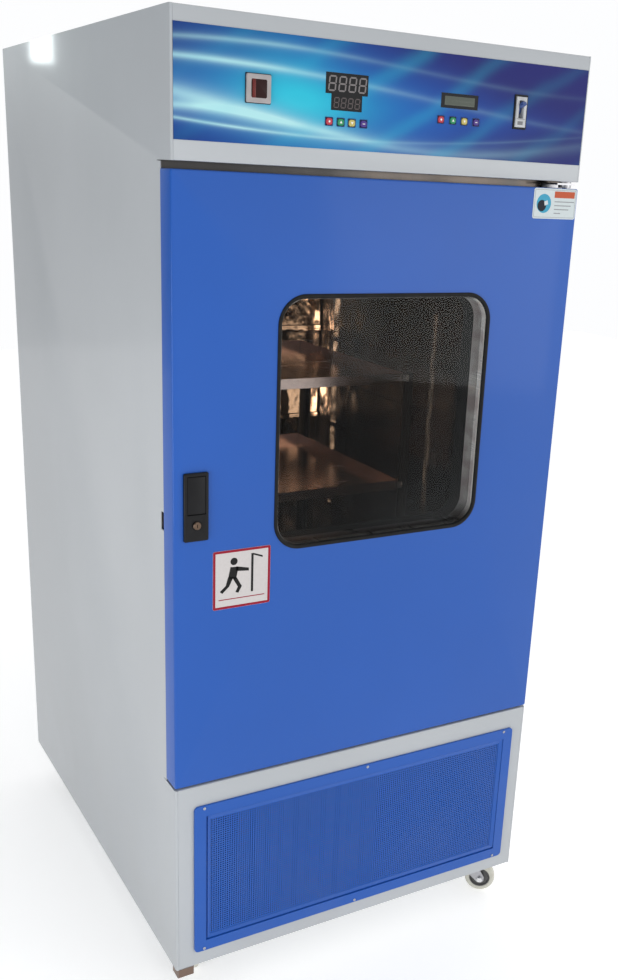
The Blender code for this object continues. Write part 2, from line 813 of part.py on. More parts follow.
EVAPORATOR_SIDE_CLEARANCE = 0.030
EVAPORATOR_FAN_CLEARANCE = 0.035
EVAPORATOR_LEFT = CHAMBER_LEFT + EVAPORATOR_SIDE_CLEARANCE
EVAPORATOR_WIDTH = BODY_WIDTH / 2 - FAN_RADIUS - EVAPORATOR_FAN_CLEARANCE - EVAPORATOR_LEFT
EVAPORATOR_FINS = 8
EVAPORATOR_DEPTH = 0.040
EVAPORATOR_RISE = 0.2115
EVAPORATOR_TOP_MARGIN = 0.138
EVAPORATOR_LOW = CHAMBER_FLOOR + EVAPORATOR_RISE
EVAPORATOR_HIGH = CHAMBER_CEILING - EVAPORATOR_TOP_MARGIN
FAN_MOTOR_RADIUS = 0.036
FAN_MOTOR_DEPTH = 0.024
FAN_SHAFT_RADIUS = 0.004
FAN_SHAFT_REACH = 0.018
FAN_THICKNESS = 0.018
FAN_HUB_RADIUS = 0.016
fin_share = 0.55
FAN_BLADES = 6
BLADE_THICKNESS = 0.0012
blade_offset_share = 0.27
BLADE_PITCH = math.radians(48)


def finned_block(left, width, back, depth, root, fins, low, high):
    """A block whose front is cut into upright fins."""
    pitch = width / fins
    outline = [(left, back), (left, back - depth)]
    for fin in range(1, fins):
        middle = left + fin * pitch
        half = pitch * (1 - fin_share) / 2
        outline += [(middle - half, back - depth), (middle - half, back - root)]
        outline += [(middle + half, back - root), (middle + half, back - depth)]
    outline += [(left + width, back - depth), (left + width, back)]
    return prism(outline, "Z", low, high)


def make_cooling_unit(datum):
    back = CHAMBER_BACK - SEAT
    plate_front = back - SHEET
    unit = piece(
        "cooling_unit",
        finned_block(
            EVAPORATOR_LEFT,
            EVAPORATOR_WIDTH,
            back,
            EVAPORATOR_DEPTH,
            EVAPORATOR_DEPTH / 2,
            EVAPORATOR_FINS,
            EVAPORATOR_LOW,
            EVAPORATOR_HIGH,
        ),
        COPPER,
        datum,
    )
    middle = BODY_WIDTH / 2
    plate = box(
        (EVAPORATOR_LEFT + EVAPORATOR_WIDTH / 2, plate_front, FAN_Z - FAN_RADIUS),
        (middle + FAN_RADIUS, back, FAN_Z + FAN_RADIUS),
    )
    add(unit, plate, "mounting_plate")
    front = back - FAN_MOTOR_DEPTH
    motor = turned(
        [
            (FAN_MOTOR_RADIUS, back - SHEET / 2),
            (FAN_MOTOR_RADIUS, front),
            (FAN_SHAFT_RADIUS, front),
            (FAN_SHAFT_RADIUS, front - FAN_SHAFT_REACH),
        ],
        "Y",
        (middle, FAN_Z),
        ROUND_STEPS,
    )
    add(unit, motor, "motor")


def fan_blade(axis_x, axis_z, turn, root, tip, middle, half):
    """One flat blade, pitched to the plane of the wheel."""
    across = half / math.tan(BLADE_PITCH)
    loops = []
    for reach in (root, tip):
        loop = []
        for u, v in (
            (-across, -half),
            (BLADE_THICKNESS - across, -half),
            (across, half),
            (across - BLADE_THICKNESS, half),
        ):
            x = reach * math.cos(turn) - u * math.sin(turn)
            z = reach * math.sin(turn) + u * math.cos(turn)
            loop.append((axis_x + x, middle + v, axis_z + z))
        loops.append(loop)
    return loft(loops)


def fan_wheel(name, carrier, centre, start, depth, hub, radius, bore, blades):
    """An axial fan: a bored hub with pitched blades, turning about y."""
    wheel = piece(name, rod("Y", centre, hub, start, start + depth, ROUND_STEPS), ZINC, carrier)
    root = hub - 4 * BLADE_THICKNESS
    half = depth / 2 - 2 * SEAT
    for blade in range(blades):
        turn = 2 * math.pi * (blade + blade_offset_share) / blades
        shape = fan_blade(*centre, turn, root, radius, start + depth / 2, half)
        add(wheel, shape, f"blade_{blade + 1}")
    cut(wheel, rod("Y", centre, bore, start - OVERRUN, start + depth + OVERRUN), "bore")


def make_circulation_fan(datum):
    middle = BODY_WIDTH / 2
    shaft_end = CHAMBER_BACK - SEAT - FAN_MOTOR_DEPTH - FAN_SHAFT_REACH
    axis = axis_empty("circulation_fan_axis", (middle, shaft_end, FAN_Z), datum)
    fan_wheel(
        "circulation_fan",
        axis,
        (middle, FAN_Z),
        shaft_end - SEAT,
        FAN_THICKNESS,
        FAN_HUB_RADIUS,
        FAN_RADIUS,
        FAN_SHAFT_RADIUS + SEAT,
        FAN_BLADES,
    )


# Shaker platform


def make_platform(crank_pin):
    left, right = RACK_CENTRE_X - RACK_WIDTH / 2, RACK_CENTRE_X + RACK_WIDTH / 2
    front, back = RACK_FRONT_Y, RACK_FRONT_Y + RACK_DEPTH
    floor = PLATFORM_BOTTOM + DECK_THICKNESS

    def deck_loop(inset, z):
        outline = rounded_rect(
            left + inset, front + inset, right - inset, back - inset, TRAY_SHEET, 1
        )
        return [at("Z", x, y, z) for x, y in outline]

    loops = [
        deck_loop(0, PLATFORM_BOTTOM),
        deck_loop(0, PLATFORM_BOTTOM + TRAY_LIP),
        deck_loop(TRAY_SHEET, PLATFORM_BOTTOM + TRAY_LIP),
        deck_loop(TRAY_SHEET, floor),
    ]
    platform = piece("shaker_platform", loft(loops), STAINLESS, crank_pin)
    hub_top = PLATFORM_BOTTOM + DECK_THICKNESS / 2
    bore_top = PLATFORM_BOTTOM - RUNNING_GAP
    x, y = crank_centre()
    hubs = {"main": (x, y + ORBIT_RADIUS, HUB_RADIUS, CRANK_PIN_RADIUS + SHAFT_CLEARANCE)}
    for side, (idler_x, idler_y) in idler_centres().items():
        hubs[side] = (
            idler_x,
            idler_y + ORBIT_RADIUS,
            IDLER_HUB_RADIUS,
            IDLER_PIN_RADIUS + OPEN_PIVOT_CLEARANCE,
        )
    for name, (hub_x, hub_y, radius, bore) in hubs.items():
        hub = rod("Z", (hub_x, hub_y), radius, HUB_BOTTOM, hub_top, ROUND_STEPS)
        add(platform, hub, f"{name}_hub")
        hole = rod("Z", (hub_x, hub_y), bore, HUB_BOTTOM - OVERRUN, bore_top, ROUND_STEPS)
        cut(platform, hole, f"{name}_bore")
    top = UPPER_TRAY_Z + TRAY_LIP
    for name, (post_x, post_y, way_x, way_y) in rack_corners().items():
        arm_x, arm_y = way_x * POST_WIDTH, way_y * POST_WIDTH
        wall_x, wall_y = way_x * POST_SHEET, way_y * POST_SHEET
        outline = [
            (post_x, post_y),
            (post_x + arm_x, post_y),
            (post_x + arm_x, post_y + wall_y),
            (post_x + wall_x, post_y + wall_y),
            (post_x + wall_x, post_y + arm_y),
            (post_x, post_y + arm_y),
        ]
        foot = PLATFORM_BOTTOM + DECK_THICKNESS / 2
        add(platform, prism(outline, "Z", foot, top), f"{name}_post")


CRANK_PIN_RADIUS = 0.010
HUB_RADIUS = 0.024
IDLER_PIN_RADIUS = 0.007
IDLER_HUB_RADIUS = 0.018
OPEN_PIVOT_CLEARANCE = 0.0008


def rack_corners():
    """Each post's outer corner, and the way from there towards the rack's middle."""
    left, right = RACK_CENTRE_X - RACK_WIDTH / 2, RACK_CENTRE_X + RACK_WIDTH / 2
    front, back = RACK_FRONT_Y, RACK_FRONT_Y + RACK_DEPTH
    return {
        "front_left": (left, front, 1, 1),
        "front_right": (right, front, -1, 1),
        "rear_left": (left, back, 1, -1),
        "rear_right": (right, back, -1, -1),
    }


def make_trays(crank_pin):
    """Each tray hangs between the angle posts, flush with their front faces."""
    reach = RACK_WIDTH / 2 - POST_WIDTH - SEAT
    front, back = RACK_FRONT_Y, RACK_FRONT_Y + RACK_DEPTH
    for name, low in (("lower_tray", LOWER_TRAY_Z), ("upper_tray", UPPER_TRAY_Z)):
        loops = []
        for inset, z in (
            (0, low),
            (0, low + TRAY_LIP),
            (TRAY_SHEET, low + TRAY_LIP),
            (TRAY_SHEET, low + TRAY_SHEET),
        ):
            outline = rounded_rect(
                RACK_CENTRE_X - reach + inset,
                front + inset,
                RACK_CENTRE_X + reach - inset,
                back - inset,
                TRAY_SHEET,
                1,
            )
            loops.append([at("Z", x, y, z) for x, y in outline])
        piece(name, loft(loops), STAINLESS, crank_pin)


# Drive


PULLEY_RADIUS = 0.070
PULLEY_FLANGE = 0.003
PULLEY_WIDTH = 0.018
PULLEY_DROP = 0.0455
PULLEY_Z = BASE_HEIGHT - PULLEY_DROP
FLANGE_WIDTH = 0.0022
CRANK_DISC_RADIUS = 0.034
COUNTERWEIGHT_RADIUS = 0.075
counterweight_angle_share = 0.36
SHAFT_TAIL = 0.010


def pulley_profile(radius):
    """Outer line of a flanged flat pulley, from its top face to its bottom face."""
    top, bottom = PULLEY_Z + PULLEY_WIDTH, PULLEY_Z
    return [
        (radius + PULLEY_FLANGE, top),
        (radius + PULLEY_FLANGE, top - FLANGE_WIDTH),
        (radius, top - FLANGE_WIDTH),
        (radius, bottom + FLANGE_WIDTH),
        (radius + PULLEY_FLANGE, bottom + FLANGE_WIDTH),
        (radius + PULLEY_FLANGE, bottom),
    ]


def make_drive_crank(crank_axis):
    centre = crank_centre()
    profile = [(CRANK_DISC_RADIUS, DISC_TOP), (CRANK_DISC_RADIUS, DISC_BOTTOM)]
    profile += [(SHAFT_RADIUS, DISC_BOTTOM), (SHAFT_RADIUS, PULLEY_Z + PULLEY_WIDTH)]
    profile += pulley_profile(PULLEY_RADIUS)
    profile += [(SHAFT_RADIUS, PULLEY_Z), (SHAFT_RADIUS, PULLEY_Z - SHAFT_TAIL)]
    crank = piece("drive_crank", turned(profile, "Z", centre, ROUND_STEPS), CAST, crank_axis)
    pin = (centre[0], centre[1] + ORBIT_RADIUS)
    pin_top = PLATFORM_BOTTOM - RUNNING_GAP - SHAFT_CLEARANCE
    add(crank, rod("Z", pin, CRANK_PIN_RADIUS, DISC_TOP - DISC_THICKNESS / 2, pin_top), "pin")
    spread = math.pi * counterweight_angle_share
    arc = [
        (
            centre[0] + COUNTERWEIGHT_RADIUS * math.sin(spread * step / EDGE_STEPS),
            centre[1] - COUNTERWEIGHT_RADIUS * math.cos(spread * step / EDGE_STEPS),
        )
        for step in range(-EDGE_STEPS, EDGE_STEPS + 1)
    ]
    weight_top = DISC_TOP - SEAT
    add(crank, prism([centre] + arc, "Z", DISC_BOTTOM + SEAT, weight_top), "counterweight")


def make_idler_cranks(datum):
    axes = {}
    for side, centre in idler_centres().items():
        axis = axis_empty(f"{side}_idler_axis", (*centre, DISC_BOTTOM), datum)
        profile = [
            (IDLER_TOWER_RADIUS, DISC_TOP),
            (IDLER_TOWER_RADIUS, DISC_BOTTOM),
            (IDLER_SHAFT_RADIUS, DISC_BOTTOM),
            (IDLER_SHAFT_RADIUS, TOWER_TOP - IDLER_SHAFT_DEPTH),
        ]
        crank = piece(f"{side}_idler_crank", turned(profile, "Z", centre, ROUND_STEPS), CAST, axis)
        pin = (centre[0], centre[1] + ORBIT_RADIUS)
        pin_top = PLATFORM_BOTTOM - RUNNING_GAP - SHAFT_CLEARANCE
        add(crank, rod("Z", pin, IDLER_PIN_RADIUS, DISC_TOP - DISC_THICKNESS / 2, pin_top), "pin")
        axes[side] = axis
    return axes


MOTOR_SPACING = 0.195
MOTOR_RADIUS = 0.056
MOTOR_SHAFT_RADIUS = 0.008
MOTOR_PULLEY_RADIUS = 0.025
MOTOR_NECK = 0.014
MOTOR_TOP = PULLEY_Z - MOTOR_NECK
MOTOR_SHAFT_DEPTH = 0.030
MOTOR_FOOT = 0.135
MOTOR_FOOT_THICKNESS = 0.006
MOTOR_NOSE = 0.022
MOTOR_BELL = 0.020
BELT_THICKNESS = 0.004
BELT_CLEARANCE = 0.0006


def motor_centre():
    x, y = crank_centre()
    return (x + MOTOR_SPACING, y)


def make_drive_motor(datum):
    centre = motor_centre()
    foot = PAN_SHEET + SEAT
    bore = MOTOR_SHAFT_RADIUS + SHAFT_CLEARANCE
    bore_floor = MOTOR_TOP - MOTOR_SHAFT_DEPTH - RUNNING_GAP
    shoulder = MOTOR_TOP - MOTOR_BELL
    profile = [
        (bore, bore_floor),
        (bore, MOTOR_TOP),
        (MOTOR_NOSE, MOTOR_TOP),
        (MOTOR_NOSE, MOTOR_TOP - SHEET * 2),
        (MOTOR_RADIUS - MOTOR_BELL / 2, MOTOR_TOP - SHEET * 3),
        (MOTOR_RADIUS, shoulder),
        (MOTOR_RADIUS, foot + MOTOR_BELL),
        (MOTOR_RADIUS - MOTOR_BELL / 2, foot + SEAT),
    ]
    motor = piece("drive_motor", turned(profile, "Z", centre, ROUND_STEPS), CAST, datum)
    half = MOTOR_FOOT / 2
    plate = box(
        (centre[0] - half, centre[1] - half, foot),
        (centre[0] + half, centre[1] + half, foot + MOTOR_FOOT_THICKNESS),
    )
    add(motor, plate, "foot")


def make_motor_pulley(motor_axis):
    profile = pulley_profile(MOTOR_PULLEY_RADIUS)
    profile += [(MOTOR_SHAFT_RADIUS, PULLEY_Z), (MOTOR_SHAFT_RADIUS, MOTOR_TOP - MOTOR_SHAFT_DEPTH)]
    piece(
        "motor_pulley", turned(profile, "Z", motor_centre(), ROUND_STEPS), ZINC, motor_axis
    )


def belt_outline(grow):
    """The line of the belt round both pulleys, at a distance from their rims."""
    big, small = crank_centre(), motor_centre()
    big_radius, small_radius = PULLEY_RADIUS + grow, MOTOR_PULLEY_RADIUS + grow
    lean = math.acos((big_radius - small_radius) / MOTOR_SPACING)
    outline = []
    steps = ROUND_STEPS
    for step in range(steps + 1):
        angle = lean + (2 * math.pi - 2 * lean) * step / steps
        outline.append((big[0] + big_radius * math.cos(angle), big[1] + big_radius * math.sin(angle)))
    for step in range(SMALL_STEPS + 1):
        angle = -lean + 2 * lean * step / SMALL_STEPS
        outline.append(
            (small[0] + small_radius * math.cos(angle), small[1] + small_radius * math.sin(angle))
        )
    return outline


def make_drive_belt(datum):
    low = PULLEY_Z + FLANGE_WIDTH + SEAT
    high = PULLEY_Z + PULLEY_WIDTH - FLANGE_WIDTH - SEAT
    inner = belt_outline(BELT_CLEARANCE)
    outer = belt_outline(BELT_CLEARANCE + BELT_THICKNESS)
    loops = [[at("Z", x, y, z) for x, y in line] for line, z in (
        (inner, low), (inner, high), (outer, high), (outer, low)
    )]
    piece("drive_belt", loft(loops, ring=True), RUBBER, datum)


# Refrigeration


COMPRESSOR_X = 0.190
COMPRESSOR_INSET_Y = 0.310
COMPRESSOR_Y = BODY_DEPTH - COMPRESSOR_INSET_Y
COMPRESSOR_RADIUS = 0.085
COMPRESSOR_HEIGHT = 0.190
COMPRESSOR_SEAM = 0.005
COMPRESSOR_PLATE_X = 0.210
COMPRESSOR_PLATE_Y = 0.150
COMPRESSOR_FOOT = 0.012
COMPRESSOR_FOOT_HEIGHT = 0.016
COMPRESSOR_PLATE_THICKNESS = 0.004
dome_shares = ((0.48, 0.97), (0.88, 0.75))


def make_compressor(datum):
    centre = (COMPRESSOR_X, COMPRESSOR_Y)
    base = PAN_SHEET + SEAT + COMPRESSOR_FOOT_HEIGHT
    middle = base + COMPRESSOR_HEIGHT / 2
    reach = COMPRESSOR_HEIGHT / 2
    upper = [(COMPRESSOR_RADIUS * across, middle + reach * up) for across, up in dome_shares]
    lower = [(radius, 2 * middle - z) for radius, z in upper]
    seam = COMPRESSOR_RADIUS + COMPRESSOR_SEAM
    profile = upper + [
        (COMPRESSOR_RADIUS, middle + COMPRESSOR_SEAM),
        (seam, middle + COMPRESSOR_SEAM / 2),
        (seam, middle - COMPRESSOR_SEAM / 2),
        (COMPRESSOR_RADIUS, middle - COMPRESSOR_SEAM),
    ] + lower[::-1]
    pot = piece("compressor", turned(profile, "Z", centre, ROUND_STEPS), CAST, datum)
    half_x, half_y = COMPRESSOR_PLATE_X / 2, COMPRESSOR_PLATE_Y / 2
    plate_bottom = base
    plate_top = base + COMPRESSOR_PLATE_THICKNESS
    plate = box(
        (centre[0] - half_x, centre[1] - half_y, plate_bottom),
        (centre[0] + half_x, centre[1] + half_y, plate_top),
    )
    add(pot, plate, "plate")
    foot_bottom = PAN_SHEET + SEAT
    for number, (side_x, side_y) in enumerate(((-1, -1), (1, -1), (1, 1), (-1, 1)), 1):
        spot = (
            centre[0] + side_x * (half_x - COMPRESSOR_FOOT),
            centre[1] + side_y * (half_y - COMPRESSOR_FOOT),
        )
        foot_top = plate_top - COMPRESSOR_PLATE_THICKNESS / 2
        foot = rod("Z", spot, COMPRESSOR_FOOT, foot_bottom, foot_top, SMALL_STEPS)
        add(pot, foot, f"foot_{number}")


CONDENSER_LEFT = 0.130
CONDENSER_WIDTH = 0.290
CONDENSER_FRONT = 0.032
CONDENSER_DEPTH = 0.044
CONDENSER_FINS = 10
CONDENSER_HEIGHT = 0.270
SHROUD_WALL = 0.002
SHROUD_DEPTH = 0.050
BLOWER_RADIUS = 0.105
BLOWER_HUB = 0.020
BLOWER_DEPTH = 0.022
BLOWER_BLADES = 5
BLOWER_SHAFT = 0.004
BLOWER_MOTOR_RADIUS = 0.034
BLOWER_MOTOR_DEPTH = 0.040
BLOWER_ARM = 0.012
BLOWER_GAP = 0.006


def blower_centre():
    return (
        CONDENSER_LEFT + CONDENSER_WIDTH / 2,
        PAN_SHEET + SEAT + CONDENSER_HEIGHT / 2,
    )


def make_condenser(datum):
    low = PAN_SHEET + SEAT
    high = low + CONDENSER_HEIGHT
    back = CONDENSER_FRONT + CONDENSER_DEPTH
    block = piece(
        "condenser",
        finned_block(
            CONDENSER_LEFT,
            CONDENSER_WIDTH,
            back,
            CONDENSER_DEPTH,
            CONDENSER_DEPTH / 4,
            CONDENSER_FINS,
            low,
            high,
        ),
        COPPER,
        datum,
    )
    rim_back = back + SHROUD_DEPTH
    middle_x, middle_z = blower_centre()
    motor_front = blower_back() + BLOWER_GAP
    shroud = box(
        (CONDENSER_LEFT, back - SHROUD_WALL, low),
        (CONDENSER_LEFT + CONDENSER_WIDTH, rim_back, high),
    )
    add(block, shroud, "shroud")
    hollow = rod(
        "Y",
        (middle_x, middle_z),
        BLOWER_RADIUS + BLOWER_GAP,
        back + SHROUD_WALL,
        rim_back + OVERRUN,
        FINE_STEPS,
    )
    cut(block, hollow, "throat")
    arm = box(
        (CONDENSER_LEFT + SHEET, rim_back - SHEET, middle_z - BLOWER_ARM / 2),
        (CONDENSER_LEFT + CONDENSER_WIDTH - SHEET, rim_back + SHEET, middle_z + BLOWER_ARM / 2),
    )
    add(block, arm, "arm")
    motor = turned(
        [
            (BLOWER_MOTOR_RADIUS, motor_front + BLOWER_MOTOR_DEPTH),
            (BLOWER_MOTOR_RADIUS, motor_front),
            (BLOWER_SHAFT, motor_front),
            (BLOWER_SHAFT, blower_front() + SEAT),
        ],
        "Y",
        (middle_x, middle_z),
        ROUND_STEPS,
    )
    add(block, motor, "motor")


def blower_front():
    return CONDENSER_FRONT + CONDENSER_DEPTH + SHROUD_WALL + BLOWER_GAP


def blower_back():
    return blower_front() + BLOWER_DEPTH


def make_condenser_fan(datum):
    centre = blower_centre()
    axis = axis_empty("condenser_fan_axis", (centre[0], blower_front(), centre[1]), datum)
    fan_wheel(
        "condenser_fan",
        axis,
        centre,
        blower_front(),
        BLOWER_DEPTH,
        BLOWER_HUB,
        BLOWER_RADIUS,
        BLOWER_SHAFT + SEAT,
        BLOWER_BLADES,
    )


# Control head


temperature_unit_share = 12 / 37
speed_unit_share = 0.6
DISPLAY_WIDTH = 0.0715
DISPLAY_HEIGHT = 0.0285
DISPLAY_RISE = 0.105
DISPLAY_LEFT = BODY_WIDTH * temperature_unit_share
DISPLAY_RIGHT = DISPLAY_LEFT + DISPLAY_WIDTH
DISPLAY_LOW = HEAD_BOTTOM + DISPLAY_RISE
DISPLAY_HIGH = DISPLAY_LOW + DISPLAY_HEIGHT
SET_DISPLAY_INSET = 0.010
SET_DISPLAY_WIDTH = 0.052
SET_DISPLAY_RISE = 0.0825
SET_DISPLAY_LEFT = DISPLAY_LEFT + SET_DISPLAY_INSET
SET_DISPLAY_RIGHT = SET_DISPLAY_LEFT + SET_DISPLAY_WIDTH
SET_DISPLAY_LOW = HEAD_BOTTOM + SET_DISPLAY_RISE
LCD_WIDTH = 0.070
LCD_HEIGHT = 0.0212
LCD_RISE = 0.0998
LCD_LEFT = BODY_WIDTH * speed_unit_share
LCD_RIGHT = LCD_LEFT + LCD_WIDTH
LCD_LOW = HEAD_BOTTOM + LCD_RISE
LCD_HIGH = LCD_LOW + LCD_HEIGHT
METER_LEFT = 0.1124
METER_RISE = 0.083
METER_LOW = HEAD_BOTTOM + METER_RISE
METER_SIZE = 0.038
METER_RIM = 0.008
METER_PROUD = 0.0038
METER_RECESS = 0.0015
METER_BODY_MARGIN = 0.002
METER_DEPTH = 0.040
BREAKER_NOSE_WIDTH = 0.0205
BREAKER_NOSE_HEIGHT = 0.046
BREAKER_BODY_HEIGHT = 0.082
BREAKER_DEPTH = 0.060
TEMPERATURE_KEY_STEPS = (0.0071, 0.0268, 0.0458, 0.0660)
TEMPERATURE_KEYS = [DISPLAY_LEFT + step for step in TEMPERATURE_KEY_STEPS]
TEMPERATURE_KEY_RISE = 0.0662
TEMPERATURE_KEY_Z = HEAD_BOTTOM + TEMPERATURE_KEY_RISE
SPEED_KEY_STEPS = (0.0011, 0.0238, 0.0457, 0.0684)
SPEED_KEYS = [LCD_LEFT + step for step in SPEED_KEY_STEPS]
SPEED_KEY_RISE = 0.0817
SPEED_KEY_Z = HEAD_BOTTOM + SPEED_KEY_RISE
KEY_WIDTH = 0.0105
KEY_HEIGHT = 0.0092
KEY_CORNER = 0.0022
KEY_PROUD = 0.0018
KEY_STEM = 0.0062
KEY_TRAVEL = 0.0010
KEY_CLEARANCE = 0.0004
MODULE_MARGIN = 0.006
MODULE_DEPTH = 0.028
OVERLAY_RISE = 0.0275
OVERLAY_TOP_MARGIN = 0.022
OVERLAY_LOW = HEAD_BOTTOM + OVERLAY_RISE
OVERLAY_HIGH = BODY_HEIGHT - OVERLAY_TOP_MARGIN


def key_opening(x, z, grow):
    return (
        x - KEY_WIDTH / 2 - grow,
        z - KEY_HEIGHT / 2 - grow,
        x + KEY_WIDTH / 2 + grow,
        z + KEY_HEIGHT / 2 + grow,
    )


def breaker_nose():
    return (
        BREAKER_X - BREAKER_NOSE_WIDTH / 2,
        BREAKER_Z - BREAKER_NOSE_HEIGHT / 2,
        BREAKER_X + BREAKER_NOSE_WIDTH / 2,
        BREAKER_Z + BREAKER_NOSE_HEIGHT / 2,
    )


def meter_body():
    inset = METER_BODY_MARGIN
    return (
        METER_LEFT + inset,
        METER_LOW + inset,
        METER_LEFT + METER_SIZE - inset,
        METER_LOW + METER_SIZE - inset,
    )


def head_openings():
    """Label and edges (left, low, right, high) of each opening in the head's front."""
    openings = [
        ("meter", meter_body()),
        ("display", (DISPLAY_LEFT, DISPLAY_LOW, DISPLAY_RIGHT, DISPLAY_HIGH)),
        ("set_display", (SET_DISPLAY_LEFT, SET_DISPLAY_LOW, SET_DISPLAY_RIGHT, DISPLAY_LOW + SHEET)),
        ("lcd", (LCD_LEFT, LCD_LOW, LCD_RIGHT, LCD_HIGH)),
        ("breaker", breaker_nose()),
    ]
    for number, x in enumerate(TEMPERATURE_KEYS, 1):
        openings.append((f"temperature_key_{number}", key_opening(x, TEMPERATURE_KEY_Z, KEY_CLEARANCE)))
    for number, x in enumerate(SPEED_KEYS, 1):
        openings.append((f"speed_key_{number}", key_opening(x, SPEED_KEY_Z, KEY_CLEARANCE)))
    return openings


def window_through(edges, grow):
    """A cutter through the head's front sheet and the overlay on it."""
    left, low, right, high = edges
    return box(
        (left - grow, -OVERRUN, low - grow), (right + grow, SHEET + OVERRUN, high + grow)
    )


def make_panel_overlay(datum):
    left = CORNER_RETURN + SEAT
    front = -SEAT - OVERLAY_SHEET
    overlay = piece(
        "panel_overlay",
        box((left, front, OVERLAY_LOW), (BODY_WIDTH - left, -SEAT, OVERLAY_HIGH)),
        PANEL,
        datum,
    )
    for label, opening in head_openings():
        cut(overlay, window_through(opening, SEAT), label)


def make_voltmeter(datum):
    left, low = METER_LEFT, METER_LOW
    right, high = left + METER_SIZE, low + METER_SIZE
    rim_back = -SEAT - OVERLAY_SHEET - SEAT
    rim_front = rim_back - METER_PROUD

    def square(inset, y):
        return plane_loop(left + inset, low + inset, right - inset, high - inset, SHEET, y, 1)

    loops = [
        square(METER_BODY_MARGIN, METER_DEPTH),
        square(METER_BODY_MARGIN, rim_back),
        square(0, rim_back),
        square(0, rim_front + METER_RECESS / 2),
        square(METER_RECESS / 2, rim_front),
        square(METER_RIM - METER_RECESS, rim_front),
        square(METER_RIM, rim_front + METER_RECESS),
    ]
    piece("voltmeter", loft(loops), WHITE, datum)


def make_module(name, blocks, keys, key_z, low, high, datum):
    """A control module behind the head's front, with display blocks and key wells."""
    back_face = SHEET + SEAT
    left = min(keys[0], blocks[0][0]) - KEY_WIDTH / 2 - MODULE_MARGIN
    right = max(keys[-1], blocks[0][2]) + KEY_WIDTH / 2 + MODULE_MARGIN
    module = piece(
        name,
        box((left, back_face, low), (right, back_face + MODULE_DEPTH, high)),
        BLACK,
        datum,
    )
    face = -SEAT - OVERLAY_SHEET
    for number, (block_left, block_low, block_right, block_high) in enumerate(blocks, 1):
        block = box(
            (block_left, face, block_low), (block_right, back_face + OVERRUN, block_high)
        )
        add(module, block, f"display_{number}")
    well_floor = back_face + KEY_STEM
    for number, x in enumerate(keys, 1):
        edges = key_opening(x, key_z, KEY_CLEARANCE)
        well = box(
            (edges[0], -OVERRUN, edges[1]), (edges[2], well_floor, edges[3])
        )
        cut(module, well, f"well_{number}")


def make_temperature_controller(datum):
    blocks = [
        (DISPLAY_LEFT, DISPLAY_LOW, DISPLAY_RIGHT, DISPLAY_HIGH),
        (SET_DISPLAY_LEFT, SET_DISPLAY_LOW, SET_DISPLAY_RIGHT, DISPLAY_LOW + SHEET),
    ]
    low = TEMPERATURE_KEY_Z - KEY_HEIGHT / 2 - MODULE_MARGIN
    high = DISPLAY_HIGH + MODULE_MARGIN
    make_module(
        "temperature_controller", blocks, TEMPERATURE_KEYS, TEMPERATURE_KEY_Z, low, high, datum
    )


def make_speed_controller(datum):
    blocks = [(LCD_LEFT, LCD_LOW, LCD_RIGHT, LCD_HIGH)]
    low = SPEED_KEY_Z - KEY_HEIGHT / 2 - MODULE_MARGIN
    high = LCD_HIGH + MODULE_MARGIN
    make_module("speed_controller", blocks, SPEED_KEYS, SPEED_KEY_Z, low, high, datum)


def make_keys(group, places, z, datum):
    """Key caps that slide back into their module's wells."""
    face = -SEAT - OVERLAY_SHEET
    front = face - KEY_PROUD
    back = SHEET + SEAT + KEY_STEM - KEY_TRAVEL - SEAT
    for number, (x, colour) in enumerate(zip(places, KEY_COLOURS.items()), 1):
        name = f"{group}_key_{number}"
        axis = axis_empty(f"{name}_axis", (x, front, z), datum)
        left, low, right, high = key_opening(x, z, 0)
        crown = KEY_PROUD / 3
        loops = [
            plane_loop(left, low, right, high, KEY_CORNER, back, 1),
            plane_loop(left, low, right, high, KEY_CORNER, front + crown, 1),
            plane_loop(left + crown, low + crown, right - crown, high - crown, KEY_CORNER, front, 1),
        ]
        piece(name, loft(loops), (f"key_{colour[0]}", colour[1], 0.4, 0.0), axis)


TOGGLE_SLOT_WIDTH = 0.0100
TOGGLE_SLOT_HEIGHT = 0.027
TOGGLE_HUB = 0.0085
TOGGLE_WIDTH = 0.0088
TOGGLE_ARM = 0.0048
TOGGLE_AXIS_DEPTH = 0.0100
TOGGLE_THROW = math.radians(48)
TOGGLE_RISE = 0.004
TOGGLE_Z = BREAKER_Z + TOGGLE_RISE


def breaker_face():
    return -SEAT - OVERLAY_SHEET - BREAKER_PROUD


